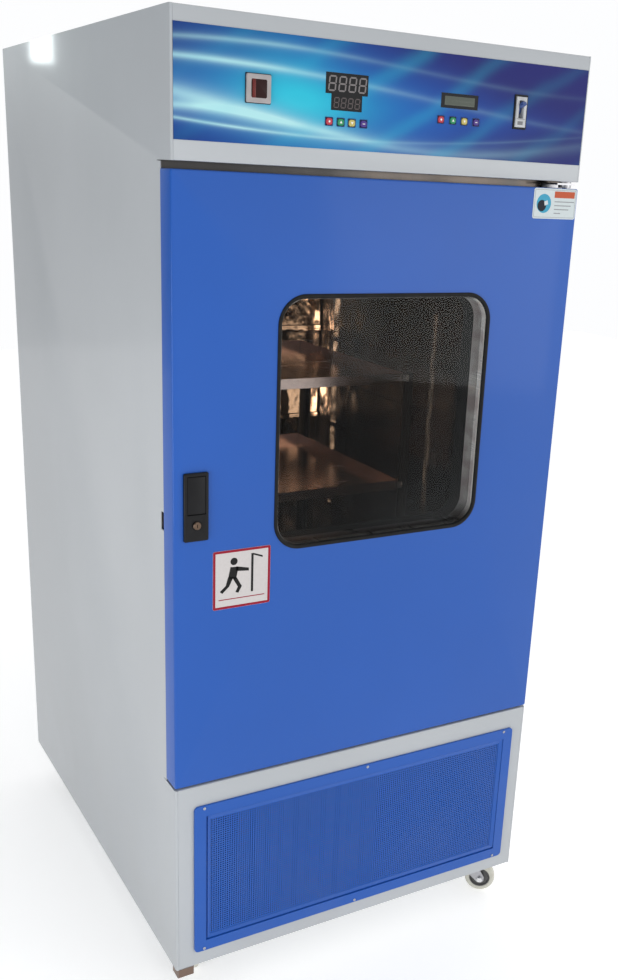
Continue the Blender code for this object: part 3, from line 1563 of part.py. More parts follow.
def make_breaker(datum):
    left, low, right, high = breaker_nose()
    back_face = SHEET + SEAT
    body = piece(
        "breaker_body",
        box((left, breaker_face(), low), (right, BREAKER_DEPTH, high)),
        WHITE,
        datum,
    )
    shoulder = box(
        (left + SEAT, back_face, BREAKER_Z - BREAKER_BODY_HEIGHT / 2),
        (right - SEAT, BREAKER_DEPTH - SEAT, BREAKER_Z + BREAKER_BODY_HEIGHT / 2),
    )
    add(body, shoulder, "shoulders")
    half_width, half_height = TOGGLE_SLOT_WIDTH / 2, TOGGLE_SLOT_HEIGHT / 2
    slot = box(
        (BREAKER_X - half_width, breaker_face() - OVERRUN, TOGGLE_Z - half_height),
        (BREAKER_X + half_width, TOGGLE_AXIS_DEPTH + TOGGLE_HUB + OVERRUN, TOGGLE_Z + half_height),
    )
    cut(body, slot, "toggle_slot")
    axis = axis_empty("breaker_toggle_axis", (BREAKER_X, TOGGLE_AXIS_DEPTH, TOGGLE_Z), datum)
    half = TOGGLE_WIDTH / 2
    centre = (TOGGLE_AXIS_DEPTH, TOGGLE_Z)
    hub = rod("X", centre, TOGGLE_HUB, BREAKER_X - half, BREAKER_X + half, ROUND_STEPS)
    toggle = piece("breaker_toggle", hub, BLUE, axis)
    reach = TOGGLE_AXIS_DEPTH - breaker_face() + TOGGLE_PROUD
    lean = TOGGLE_THROW / 2
    length = reach / math.cos(lean) - TOGGLE_ARM / 2 * math.tan(lean)
    outline = []
    for along, across in ((0, -1), (length, -1), (length, 1), (0, 1)):
        side = across * TOGGLE_ARM / 2
        outline.append((
            centre[0] - along * math.cos(lean) + side * math.sin(lean),
            centre[1] + along * math.sin(lean) + side * math.cos(lean),
        ))
    arm_half = half - SEAT
    add(toggle, prism(outline, "X", BREAKER_X - arm_half, BREAKER_X + arm_half), "arm")


# Door


def door_loop(inset, radius, y):
    return plane_loop(inset, DOOR_BOTTOM + inset, BODY_WIDTH - inset, DOOR_TOP - inset, radius, y)


def window_loop(inset, y):
    return plane_loop(
        WINDOW_LEFT + inset,
        WINDOW_BOTTOM + inset,
        WINDOW_LEFT + WINDOW_WIDTH - inset,
        WINDOW_BOTTOM + WINDOW_HEIGHT - inset,
        WINDOW_RADIUS - inset,
        y,
    )


def handle_hole(grow):
    inset = HANDLE_LIP - grow
    return box(
        (HANDLE_LEFT + inset, -OVERRUN, HANDLE_BOTTOM + inset),
        (
            HANDLE_LEFT + HANDLE_WIDTH - inset,
            SHEET + OVERRUN,
            HANDLE_BOTTOM + HANDLE_HEIGHT - inset,
        ),
    )


def make_door_skin(door):
    edge = DOOR_EDGE_RADIUS
    rounds = []
    for step in range(EDGE_STEPS + 1):
        angle = math.pi / 2 * step / EDGE_STEPS
        inset = edge * (1 - math.cos(angle))
        rounds.append(door_loop(inset, edge, edge * (1 - math.sin(angle))))
    loops = [door_loop(0, edge, DOOR_DEPTH)] + rounds
    loops += [
        window_loop(SEAL_LIP, 0),
        window_loop(SEAL_LIP, SHEET),
        door_loop(edge, SHEET, SHEET),
        door_loop(SHEET, SHEET, edge),
        door_loop(SHEET, SHEET, DOOR_DEPTH),
    ]
    skin = piece("door_skin", loft(loops, ring=True), BLUE, door)
    cut(skin, handle_hole(SEAT), "handle_hole")
    for label, low, high in (
        ("upper_pin", DOOR_TOP - SHEET - OVERRUN, DOOR_TOP + OVERRUN),
        ("lower_pin", DOOR_BOTTOM - OVERRUN, DOOR_BOTTOM + SHEET + OVERRUN),
    ):
        hole = rod("Z", (HINGE_X, HINGE_INSET_Y), PIN_RADIUS + 2 * SEAT, low, high, ROUND_STEPS)
        cut(skin, hole, label)


def make_door_liner(door):
    inset = SHEET + SEAT
    plate = LINER_PLATE
    front = DOOR_DEPTH - plate
    glass_back = SHEET + SEAT + GLASS_UNIT + SEAT
    side = INSULATED_WALL + PLUG_CLEARANCE
    low, high = CHAMBER_FLOOR + PLUG_CLEARANCE, CHAMBER_CEILING - PLUG_CLEARANCE

    def plug_loop(shrink, y):
        return plane_loop(
            side + shrink,
            low + shrink,
            BODY_WIDTH - side - shrink,
            high - shrink,
            PLUG_RADIUS - shrink,
            y,
        )

    opening = SEAL_LIP + SEAL_WIDTH - REVEAL_MARGIN
    loops = [
        door_loop(inset, SHEET, front),
        door_loop(inset, SHEET, DOOR_DEPTH),
        plug_loop(0, DOOR_DEPTH),
        plug_loop(0, PLUG_BACK),
        window_loop(opening, PLUG_BACK),
        window_loop(opening, glass_back),
        window_loop(opening - plate, glass_back),
        window_loop(opening - plate, PLUG_BACK - plate),
        plug_loop(plate, PLUG_BACK - plate),
        plug_loop(plate, front),
    ]
    liner = piece("door_liner", loft(loops, ring=True), STAINLESS, door)
    hole = rod(
        "Y", (LOCK_X, LOCK_Z), LOCK_RADIUS + LOCK_CLEARANCE, front - OVERRUN, DOOR_DEPTH + OVERRUN
    )
    cut(liner, hole, "lock_hole")


LOCK_CLEARANCE = 0.002


def make_door_gasket(door):
    def gasket_loop(grow, y):
        return plane_loop(
            INSULATED_WALL - grow,
            CHAMBER_FLOOR - grow,
            BODY_WIDTH - INSULATED_WALL + grow,
            CHAMBER_CEILING + grow,
            PLUG_RADIUS + grow,
            y,
            EDGE_STEPS,
        )

    inner, outer = GASKET_MARGIN, GASKET_MARGIN + GASKET_WIDTH
    front, back = DOOR_DEPTH + SEAT, STEP_DEPTH - SEAT
    middle = (front + back) / 2
    loops = [
        gasket_loop(inner, front),
        gasket_loop(outer, front),
        gasket_loop(outer - GASKET_WAIST, middle),
        gasket_loop(outer, back),
        gasket_loop(inner, back),
        gasket_loop(inner + GASKET_WAIST, middle),
    ]
    piece("door_gasket", loft(loops, ring=True), RUBBER, door)


def make_window(door):
    glass_front = SHEET + SEAT
    lap = SEAL_LIP - GLASS_LAP
    glass = loft([window_loop(lap, glass_front), window_loop(lap, glass_front + GLASS_UNIT)])
    piece("window_glass", glass, GLASS, door)
    lip_back, lip_front = -SEAT, -SEAT - SEAL_PROUD
    inner = SEAL_LIP + SEAL_WIDTH
    loops = [
        window_loop(0, lip_back),
        window_loop(SEAL_PROUD / 3, lip_front),
        window_loop(inner - SEAL_PROUD, lip_front),
        window_loop(inner, lip_front + SEAL_PROUD),
        window_loop(inner, glass_front - SEAT),
        window_loop(SEAL_LIP + SEAT, glass_front - SEAT),
        window_loop(SEAL_LIP + SEAT, lip_back),
    ]
    piece("window_seal", loft(loops, ring=True), RUBBER, door)


POCKET_SIDE = 0.005
POCKET_TOP = 0.005
POCKET_LOW = 0.043
POCKET_DEPTH = 0.022
PADDLE_CLEARANCE = 0.0006
PADDLE_DEPTH = 0.0045
PADDLE_LIP = 0.0035
PADDLE_PIN_RADIUS = 0.0020
PADDLE_PIN_DROP = 0.0045
PADDLE_PIN_INSET = 0.0035


def pocket_edges(inset):
    return (
        HANDLE_LEFT + POCKET_SIDE + inset,
        HANDLE_BOTTOM + POCKET_LOW + inset,
        HANDLE_LEFT + HANDLE_WIDTH - POCKET_SIDE - inset,
        HANDLE_BOTTOM + HANDLE_HEIGHT - POCKET_TOP - inset,
    )


def paddle_axis_place():
    left, _, right, high = pocket_edges(0)
    return ((left + right) / 2, PADDLE_PIN_INSET - HANDLE_PROUD, high - PADDLE_PIN_DROP)


def make_handle(door):
    left, low = HANDLE_LEFT, HANDLE_BOTTOM
    right, high = left + HANDLE_WIDTH, low + HANDLE_HEIGHT
    edge = HANDLE_PROUD / 4

    def housing_loop(inset, y):
        return plane_loop(left + inset, low + inset, right - inset, high - inset, SHEET, y, 1)

    loops = [
        housing_loop(HANDLE_LIP, HANDLE_DEPTH),
        housing_loop(HANDLE_LIP, -SEAT),
        housing_loop(0, -SEAT),
        housing_loop(0, edge - HANDLE_PROUD),
        housing_loop(edge, -HANDLE_PROUD),
    ]
    housing = piece("handle_housing", loft(loops), BLACK, door)
    pocket_left, pocket_low, pocket_right, pocket_high = pocket_edges(0)
    pocket = box(
        (pocket_left, -HANDLE_PROUD - OVERRUN, pocket_low), (pocket_right, POCKET_DEPTH, pocket_high)
    )
    cut(housing, pocket, "pocket")
    bore = LOCK_RADIUS + 2 * SEAT
    barrel_hole = rod("Y", (LOCK_X, LOCK_Z), bore, -HANDLE_PROUD - OVERRUN, HANDLE_DEPTH + OVERRUN)
    cut(housing, barrel_hole, "barrel_hole")
    _, axis_y, axis_z = paddle_axis_place()
    reach = POCKET_SIDE / 2
    pin_hole = rod(
        "X",
        (axis_y, axis_z),
        PADDLE_PIN_RADIUS + SEAT,
        pocket_left - reach,
        pocket_right + reach,
        SMALL_STEPS,
    )
    cut(housing, pin_hole, "pin_hole")
    make_paddle(door)


def make_paddle(door):
    """A flap on a cross pin at its top, with a finger lip along its foot."""
    left, low, right, high = pocket_edges(PADDLE_CLEARANCE)
    place = paddle_axis_place()
    axis = axis_empty("handle_paddle_axis", place, door)
    front = -HANDLE_PROUD + SEAT
    back = front + PADDLE_DEPTH
    crown = PADDLE_DEPTH / 4
    outline = [
        (front + crown, high),
        (back, high),
        (back, low + PADDLE_LIP),
        (back + PADDLE_LIP, low + PADDLE_LIP / 2),
        (back + PADDLE_LIP / 2, low),
        (front + crown, low),
        (front, low + crown),
        (front, high - crown),
    ]
    paddle = piece("handle_paddle", prism(outline, "X", left, right), BLACK, axis)
    reach = POCKET_SIDE / 2 - SEAT - PADDLE_CLEARANCE
    pin = rod("X", place[1:], PADDLE_PIN_RADIUS, left - reach, right + reach, SMALL_STEPS)
    add(paddle, pin, "pin")


CAM_THICKNESS = 0.002
CAM_WIDTH = 0.015
CAM_REACH = 0.028
CAM_STANDOFF = 0.0045
CAM_DEPTH = DOOR_DEPTH + CAM_STANDOFF
KEY_SLOT_LENGTH = 0.0060
KEY_SLOT_WIDTH = 0.0014
KEY_SLOT_DEPTH = 0.0020


def make_lock(door):
    front = -HANDLE_PROUD - SEAT
    face = -HANDLE_PROUD - LOCK_PROUD
    axis = axis_empty("lock_axis", (LOCK_X, face, LOCK_Z), door)
    rim = LOCK_RING - LOCK_PROUD / 4
    profile = [
        (LOCK_RADIUS, CAM_DEPTH + CAM_THICKNESS),
        (LOCK_RADIUS, front),
        (LOCK_RING, front),
        (LOCK_RING, face + LOCK_PROUD / 3),
        (rim, face),
    ]
    barrel = turned(profile, "Y", (LOCK_X, LOCK_Z), SMALL_STEPS)
    lock = piece("lock_barrel", barrel, ZINC, axis)
    half = CAM_WIDTH / 2
    cam = [
        (LOCK_X - half, LOCK_Z),
        (LOCK_X - half, LOCK_Z + CAM_REACH - half / 2),
        (LOCK_X - half / 2, LOCK_Z + CAM_REACH),
        (LOCK_X + half / 2, LOCK_Z + CAM_REACH),
        (LOCK_X + half, LOCK_Z + CAM_REACH - half / 2),
        (LOCK_X + half, LOCK_Z),
        (LOCK_X, LOCK_Z - half),
    ]
    add(lock, prism(cam, "Y", CAM_DEPTH, CAM_DEPTH + CAM_THICKNESS - SEAT / 2), "cam")
    slot = box(
        (LOCK_X - KEY_SLOT_WIDTH / 2, face - OVERRUN, LOCK_Z - KEY_SLOT_LENGTH / 2),
        (LOCK_X + KEY_SLOT_WIDTH / 2, face + KEY_SLOT_DEPTH, LOCK_Z + KEY_SLOT_LENGTH / 2),
    )
    cut(lock, slot, "key_slot")


STRIKE_LEFT = 0.003
STRIKE_WIDTH = 0.040
STRIKE_SHEET = 0.002
STRIKE_DROP = 0.015
STRIKE_LOW = LOCK_Z - STRIKE_DROP
STRIKE_HEIGHT = 0.025
STRIKE_STANDOFF = 0.001
STRIKE_FRONT = DOOR_DEPTH + STRIKE_STANDOFF
STRIKE_LIP = 0.015


def make_strike(datum):
    """A folded catch on the mouth flange; the turned cam lies behind its lip."""
    back = STEP_DEPTH - SEAT
    path = [
        (STRIKE_LEFT + STRIKE_LIP, STRIKE_FRONT),
        (STRIKE_LEFT, STRIKE_FRONT),
        (STRIKE_LEFT, back),
        (STRIKE_LEFT + STRIKE_WIDTH, back),
    ]
    section = folded(path, STRIKE_SHEET, STRIKE_SHEET + SEAT)
    strike = prism(section, "Z", STRIKE_LOW, STRIKE_LOW + STRIKE_HEIGHT)
    piece("strike_bracket", strike, ZINC, datum)


HINGE_LEAF_REACH = 0.040
HINGE_LEAF_LEFT = BODY_WIDTH - HINGE_LEAF_REACH
HINGE_LEAF_SHEET = 0.003
HINGE_FOOT_HEIGHT = 0.032
HINGE_SIDE_INSET = 0.001
KNUCKLE_RADIUS = 0.011
LOWER_LEAF = 0.0022
PIN_REACH = 0.014


def make_hinges(datum):
    """Leaves in the gaps above and below the door, each with its foot on the mouth flange."""
    right = BODY_WIDTH - HINGE_SIDE_INSET
    back = STEP_DEPTH - SEAT
    centre = (HINGE_X, HINGE_INSET_Y)
    front = HINGE_INSET_Y - KNUCKLE_RADIUS
    top = HEAD_BOTTOM - SEAT
    low = DOOR_TOP + DOOR_GAP_ABOVE / 2
    leaf = box((HINGE_LEAF_LEFT, front, low), (right, back, low + HINGE_LEAF_SHEET))
    upper = piece("upper_hinge", leaf, ZINC, datum)
    foot = box(
        (HINGE_LEAF_LEFT, back - HINGE_LEAF_SHEET, low - HINGE_FOOT_HEIGHT),
        (right, back, low + HINGE_LEAF_SHEET / 2),
    )
    add(upper, foot, "foot")
    add(upper, rod("Z", centre, KNUCKLE_RADIUS, DOOR_TOP + 2 * SEAT, top, ROUND_STEPS), "knuckle")
    pin_top = low + HINGE_LEAF_SHEET / 2
    add(upper, rod("Z", centre, PIN_RADIUS, DOOR_TOP - PIN_REACH, pin_top), "pin")

    low = BASE_HEIGHT + SEAT
    leaf = box((HINGE_LEAF_LEFT, front, low), (right, back, low + LOWER_LEAF))
    lower = piece("lower_hinge", leaf, ZINC, datum)
    foot = box(
        (HINGE_LEAF_LEFT, back - HINGE_LEAF_SHEET, low + LOWER_LEAF / 2),
        (right, back, low + HINGE_FOOT_HEIGHT),
    )
    add(lower, foot, "foot")
    add(lower, rod("Z", centre, PIN_RADIUS, low + LOWER_LEAF / 2, DOOR_BOTTOM + PIN_REACH), "pin")


# Castors


AXLE_RADIUS = 0.004
FORK_SHEET = 0.0025
FORK_GAP = 0.0015
FORK_CROWN = 0.020
FORK_HEAD_RADIUS = 0.022
FORK_HEAD_HEIGHT = 0.008
FORK_LEG_FOOT = 0.009
AXLE_HEAD = 0.006
AXLE_HEAD_THICKNESS = 0.003
AXLE_Z = WHEEL_RADIUS - CASTOR_HEIGHT
HUB_HALF_WIDTH = WHEEL_WIDTH / 2
TREAD_ROUND = 0.003
WHEEL_DISH = 0.003
HUB_BOSS = 0.008


def fork_shapes():
    """Fork pieces drawn with the swivel axis at the origin and the trail along +x."""
    head_top = -CASTOR_PLATE_THICKNESS - SEAT
    head_bottom = head_top - FORK_HEAD_HEIGHT
    inside = HUB_HALF_WIDTH + FORK_GAP
    outside = inside + FORK_SHEET
    head = turned(
        [
            (KINGPIN_RADIUS, -2 * SEAT),
            (KINGPIN_RADIUS, head_top),
            (FORK_HEAD_RADIUS, head_top),
            (FORK_HEAD_RADIUS, head_bottom),
        ],
        "Z",
        (0, 0),
        SMALL_STEPS,
    )
    crown_bottom = head_bottom - FORK_SHEET
    crown = box(
        (-FORK_CROWN, -outside, crown_bottom), (FORK_CROWN, outside, head_bottom + SEAT)
    )
    shapes = [("crown", crown)]
    trail, foot = CASTOR_TRAIL, FORK_LEG_FOOT
    leg = [
        (-FORK_CROWN, head_bottom),
        (-FORK_CROWN, crown_bottom - FORK_SHEET),
        (trail - foot, AXLE_Z - foot / 2),
        (trail - foot / 2, AXLE_Z - foot),
        (trail + foot / 2, AXLE_Z - foot),
        (trail + foot, AXLE_Z - foot / 2),
        (trail + foot, AXLE_Z + foot / 2),
        (FORK_CROWN, head_bottom),
    ]
    shapes.append(("near_leg", prism(leg, "Y", -outside, -inside)))
    shapes.append(("far_leg", prism(leg, "Y", inside, outside)))
    reach = outside + AXLE_HEAD_THICKNESS
    profile = [
        (AXLE_HEAD, -reach),
        (AXLE_HEAD, -outside + SEAT),
        (AXLE_RADIUS, -outside + SEAT),
        (AXLE_RADIUS, outside - SEAT),
        (AXLE_HEAD, outside - SEAT),
        (AXLE_HEAD, reach),
    ]
    shapes.append(("axle", turned(profile, "Y", (trail, AXLE_Z), SMALL_STEPS)))
    return head, shapes


def wheel_shape():
    """Tyre, web and boss as one turned ring, drawn like the fork."""
    half, rim = HUB_HALF_WIDTH, WHEEL_RADIUS - TREAD_ROUND * 2
    bore = AXLE_RADIUS + SEAT * 2
    side = [
        (bore, -half),
        (HUB_BOSS, -half),
        (HUB_BOSS + WHEEL_DISH, WHEEL_DISH - half),
        (rim - WHEEL_DISH, WHEEL_DISH - half),
        (WHEEL_RADIUS - TREAD_ROUND, -half),
        (WHEEL_RADIUS, TREAD_ROUND - half),
    ]
    profile = side + [(radius, -along) for radius, along in reversed(side)]
    return turned(profile, "Y", (CASTOR_TRAIL, AXLE_Z), WHEEL_STEPS, ring=True)


def turned_about(shape, x, y, angle):
    """Moves a shape drawn at the origin to a swivel axis and turns it to its trail."""
    points, faces = shape
    spin = Matrix.Rotation(angle, 3, "Z")
    return [spin @ Vector(point) + Vector((x, y, 0)) for point in points], faces


def make_castors(datum):
    for name, (x, y, angle) in castor_places().items():
        swivel = axis_empty(f"{name}_swivel_axis", (x, y, 0), datum)
        head, shapes = fork_shapes()
        fork = piece(f"{name}_castor_fork", turned_about(head, x, y, angle), ZINC, swivel)
        for label, shape in shapes:
            add(fork, turned_about(shape, x, y, angle), label)
        trail = Matrix.Rotation(angle, 3, "Z") @ Vector((CASTOR_TRAIL, 0, 0))
        axle = axis_empty(f"{name}_axle_axis", (x + trail.x, y + trail.y, AXLE_Z), swivel)
        piece(f"{name}_castor_wheel", turned_about(wheel_shape(), x, y, angle), TYRE, axle)


def main():
    clear_scene()
    datum = axis_empty("cabinet_datum", (-BODY_WIDTH / 2, FRONT_Y, CASTOR_HEIGHT))
    make_side_panels(datum)
    make_head_cover(datum)
    make_base_front_panel(datum)
    make_back_panel(datum)
    make_cable_gland(datum)
    make_base_pan(datum)
    make_grille(datum)
    make_machine_deck(datum)
    make_insulation(datum)
    make_chamber_liner(datum)
    make_air_baffle(datum)
    make_cooling_unit(datum)
    make_circulation_fan(datum)
    make_drive_motor(datum)
    make_drive_belt(datum)
    make_compressor(datum)
    make_condenser(datum)
    make_condenser_fan(datum)
    make_panel_overlay(datum)
    make_voltmeter(datum)
    make_temperature_controller(datum)
    make_speed_controller(datum)
    make_keys("temperature", TEMPERATURE_KEYS, TEMPERATURE_KEY_Z, datum)
    make_keys("speed", SPEED_KEYS, SPEED_KEY_Z, datum)
    make_breaker(datum)
    make_strike(datum)
    make_hinges(datum)

    door = axis_empty("door_axis", (HINGE_X, HINGE_INSET_Y, DOOR_BOTTOM), datum)
    make_door_skin(door)
    make_door_liner(door)
    make_door_gasket(door)
    make_window(door)
    make_handle(door)
    make_lock(door)

    crank_axis = axis_empty("crank_axis", (*crank_centre(), DISC_BOTTOM), datum)
    make_drive_crank(crank_axis)
    make_idler_cranks(datum)
    motor_axis = axis_empty("motor_axis", (*motor_centre(), PULLEY_Z), datum)
    make_motor_pulley(motor_axis)
    x, y = crank_centre()
    crank_pin = axis_empty("crank_pin_axis", (x, y + ORBIT_RADIUS, HUB_BOTTOM), crank_axis)
    make_platform(crank_pin)
    make_trays(crank_pin)
    make_castors(datum)


main()
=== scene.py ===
"""Dresses the orbital incubator shaker: painted sheet, printed panel, glass, grille, rack, castors and studio.

Places are given in the cabinet's own metres: x to the right along the front, y back from the door's
face, z up from the underside of the body. CABINET carries them into the frame's space.
"""

import json
import logging
import math
from dataclasses import dataclass, field
from enum import Enum
from typing import Callable, Iterable, Sequence

import bmesh
import bpy
from mathutils import Matrix, Vector


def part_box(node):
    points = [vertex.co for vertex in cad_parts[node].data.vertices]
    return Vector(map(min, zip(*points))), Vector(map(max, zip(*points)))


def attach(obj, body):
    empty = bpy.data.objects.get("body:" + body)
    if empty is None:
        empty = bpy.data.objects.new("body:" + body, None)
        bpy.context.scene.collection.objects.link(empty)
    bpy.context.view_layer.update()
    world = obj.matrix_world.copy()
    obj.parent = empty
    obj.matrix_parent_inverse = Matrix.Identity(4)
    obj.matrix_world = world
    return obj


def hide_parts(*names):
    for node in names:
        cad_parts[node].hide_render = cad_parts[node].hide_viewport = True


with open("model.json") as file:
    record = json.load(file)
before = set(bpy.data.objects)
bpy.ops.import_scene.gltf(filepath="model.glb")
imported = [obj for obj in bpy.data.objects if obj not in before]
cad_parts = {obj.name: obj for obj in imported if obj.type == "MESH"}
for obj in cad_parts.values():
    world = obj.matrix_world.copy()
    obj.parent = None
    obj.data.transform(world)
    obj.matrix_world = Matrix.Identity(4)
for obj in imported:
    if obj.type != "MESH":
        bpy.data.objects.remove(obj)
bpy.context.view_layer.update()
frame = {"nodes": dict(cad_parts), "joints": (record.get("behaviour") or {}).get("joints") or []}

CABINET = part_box("left_side_panel")[0]
LOG = logging.getLogger("shaker")
WELD_GAP = 0.00001
BEVEL_ABOVE = math.radians(40)
SHARP_ABOVE = math.radians(35)
SHARP_ABOVE_BEVELS = math.radians(50)

Point = tuple[float, float, float]
Colour = tuple[float, float, float]
Pair = tuple[float, float]
Edges = tuple[float, float, float, float]
Loop = list[Point]
Material = bpy.types.Material


class Axis(Enum):
    """The three directions of the cabinet."""

    X = 0
    Y = 1
    Z = 2


class Shape(Enum):
    """The little marks moulded into the key caps."""

    UP = "up"
    DOWN = "down"
    DOT = "dot"
    BAR = "bar"


def at(axis: Axis, u: float, v: float, along: float) -> Point:
    """A point from its place square to an axis and its place along it.

    Args:
        axis: the axis.
        u: the place along the first of the other two directions.
        v: the place along the second of them.
        along: the place along the axis itself.

    Returns:
        The point.
    """
    if axis is Axis.X:
        return (along, u, v)
    if axis is Axis.Y:
        return (u, along, v)
    return (u, v, along)


def drawn_in(edges: Edges, inset: float) -> Edges:
    """A rectangle's edges, drawn in by a distance."""
    left, low, right, high = edges
    return (left + inset, low + inset, right - inset, high - inset)


def box_outline(left: float, low: float, right: float, high: float) -> list[Pair]:
    """A rectangle's corners."""
    return [(left, low), (right, low), (right, high), (left, high)]


def rounded(left: float, low: float, right: float, high: float, radius: float, steps: int) -> list[Pair]:
    """The outline of a rectangle with round corners.

    Args:
        left, low, right, high: the rectangle's edges.
        radius: the corner radius.
        steps: straight pieces in each corner.

    Returns:
        The outline's points as pairs.
    """
    outline = []
    corners = ((right, high, 0), (left, high, 1), (left, low, 2), (right, low, 3))
    for corner_u, corner_v, quarter in corners:
        centre_u = corner_u - math.copysign(radius, corner_u - (left + right) / 2)
        centre_v = corner_v - math.copysign(radius, corner_v - (low + high) / 2)
        for step in range(steps + 1):
            angle = (quarter + step / steps) * math.pi / 2
            outline.append((centre_u + radius * math.cos(angle), centre_v + radius * math.sin(angle)))
    return outline


def circle(u: float, v: float, radius: float, steps: int) -> list[Pair]:
    """A round outline's points as pairs."""
    turns = [2 * math.pi * step / steps for step in range(steps)]
    return [(u + radius * math.cos(turn), v + radius * math.sin(turn)) for turn in turns]


def shade(colour: Colour, amount: float) -> Colour:
    """A colour made darker or lighter by a factor."""
    return tuple(min(1, part * amount) for part in colour)


def local(node: str) -> tuple[Vector, Vector]:
    """A solid's lowest and highest corner in the cabinet's own metres."""
    low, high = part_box(node)
    return low - CABINET, high - CABINET


def front_edges(node: str) -> Edges:
    """A solid's edges as seen from the front, in the cabinet's own metres."""
    low, high = local(node)
    return (low.x, low.z, high.x, high.z)


@dataclass
class Form:
    """A mesh under construction, in the cabinet's metres."""

    points: list[Point] = field(default_factory=list)
    faces: list[tuple[int, ...]] = field(default_factory=list)

    def loft(self, loops: Sequence[Loop], ring: bool = False) -> "Form":
        """Skins loops of equal length, with the ends capped or joined in a ring.

        Args:
            loops: the loops in order.
            ring: True where the last loop meets the first.

        Returns:
            The form itself.
        """
        base, count = len(self.points), len(loops[0])
        self.points += [point for loop in loops for point in loop]
        for span in range(len(loops) if ring else len(loops) - 1):
            near = base + span * count
            far = base + (span + 1) % len(loops) * count
            for step in range(count):
                after = (step + 1) % count
                self.faces.append((near + step, near + after, far + after, far + step))
        if not ring:
            last = base + (len(loops) - 1) * count
            self.faces.append(tuple(range(base, base + count)))
            self.faces.append(tuple(range(last, last + count)))
        return self

    def prism(self, outline: Sequence[Pair], axis: Axis, start: float, end: float) -> "Form":
        """Carries an outline straight along an axis and returns the form."""
        return self.loft([[at(axis, u, v, along) for u, v in outline] for along in (start, end)])

    def pillow(self, outline_at: Callable[[float], list[Pair]], axis: Axis, back: float, front: float) -> "Form":
        """A flat piece with a softened front edge.

        Args:
            outline_at: gives the outline drawn in by a distance.
            axis: the direction of its thickness.
            back: the place of its back face.
            front: the place of its front face.

        Returns:
            The form itself.
        """
        soft = (front - back) / 3
        stages = ((0, back), (0, front - soft), (abs(soft) / 3, front - soft / 3), (abs(soft), front))
        return self.loft([[at(axis, u, v, along) for u, v in outline_at(inset)] for inset, along in stages])

    def turned(self, profile: Sequence[Pair], axis: Axis, centre: Pair, steps: int) -> "Form":
        """Revolves a closed profile about an axis.

        Args:
            profile: the section's points, as radii and places along the axis.
            axis: the direction of the axis.
            centre: the place of the axis, square to it.
            steps: flat pieces in a full turn.

        Returns:
            The form itself.
        """
        loops = [[at(axis, u, v, along) for u, v in circle(*centre, radius, steps)] for radius, along in profile]
        return self.loft(loops, ring=True)

    def sheet_with_holes(self, across: Sequence[float], up: Sequence[float], back: float, front: float) -> "Form":
        """An upright plate with a hole wherever an odd column meets an odd row.

        Args:
            across: the lines between the columns, from left to right.
            up: the lines between the rows, from the bottom.
            back: the depth of its back face.
            front: the depth of its front face.

        Returns:
            The form itself.
        """
        base, wide = len(self.points), len(across)
        side = wide * len(up)
        self.points += [(x, y, z) for y in (back, front) for z in up for x in across]
        holes = {(i, j) for i in range(1, wide - 1, 2) for j in range(1, len(up) - 1, 2)}
        cells = {(i, j) for i in range(wide - 1) for j in range(len(up) - 1)} - holes
        for i, j in sorted(cells):
            low = base + j * wide + i
            corners = (low, low + 1, low + wide + 1, low + wide)
            self.faces.append(corners)
            self.faces.append(tuple(side + corner for corner in reversed(corners)))
            beside = ((i, j - 1), (i + 1, j), (i, j + 1), (i - 1, j))
            for edge, neighbour in enumerate(beside):
                if neighbour not in cells:
                    a, b = corners[edge], corners[(edge + 1) % 4]
                    self.faces.append((b, a, side + a, side + b))
        return self

    def join(self, other: "Form") -> "Form":
        """Takes in another form.

        Args:
            other: the form whose points and faces are added.

        Returns:
            The form itself.
        """
        base = len(self.points)
        self.points += other.points
        self.faces += [tuple(index + base for index in face) for face in other.faces]
        return self

    def moved(self, change: Matrix) -> "Form":
        """Moves every point by a matrix and returns the form."""
        self.points = [tuple(change @ Vector(point)) for point in self.points]
        return self

    def make(self, name: str, body: str, finish: Material, slot: str, sharp: float = 35) -> bpy.types.Object:
        """Turns the form into a piece of the object.

        Args:
            name: the piece's name.
            body: the moving body that carries it.
            finish: its material.
            slot: the name of a record's slot; it is not used.
            sharp: edges bent by more degrees than this stay sharp.

        Returns:
            The new object.
        """
        mesh = bpy.data.meshes.new(name)
        mesh.from_pydata([Vector(point) + CABINET for point in self.points], [], self.faces)
        work = bmesh.new()
        work.from_mesh(mesh)
        bmesh.ops.recalc_face_normals(work, faces=work.faces)
        work.to_mesh(mesh)
        work.free()
        mesh.shade_smooth()
        mesh.set_sharp_from_angle(angle=math.radians(sharp))
        mesh.materials.append(finish)
        made = bpy.data.objects.new(name, mesh)
        bpy.context.scene.collection.objects.link(made)
        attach(made, body)
        LOG.info("piece %s on %s: %d faces", name, body, len(self.faces))
        return made


def dress(node: str, finish: Material, soften: float = 0) -> None:
    """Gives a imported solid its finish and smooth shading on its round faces.

    Args:
        node: the solid's name.
        finish: its material.
        soften: the width of a small bevel on its edges, or nothing.
    """
    solid = frame["nodes"][node]
    solid.data.materials.clear()
    solid.data.materials.append(finish)
    custom = solid.data.attributes.get("custom_normal")
    if custom:
        solid.data.attributes.remove(custom)
    for face in solid.data.polygons:
        face.use_smooth = True
    weld = solid.modifiers.new("weld", "WELD")
    weld.merge_threshold = WELD_GAP
    if soften:
        bevel = solid.modifiers.new("soft_edges", "BEVEL")
        bevel.width = soften
        bevel.segments = 2
        bevel.limit_method = "ANGLE"
        bevel.angle_limit = BEVEL_ABOVE
    split = solid.modifiers.new("crisp_edges", "EDGE_SPLIT")
    split.split_angle = SHARP_ABOVE_BEVELS if soften else SHARP_ABOVE
    LOG.info("solid %s dressed in %s", node, finish.name)


# Shader expressions


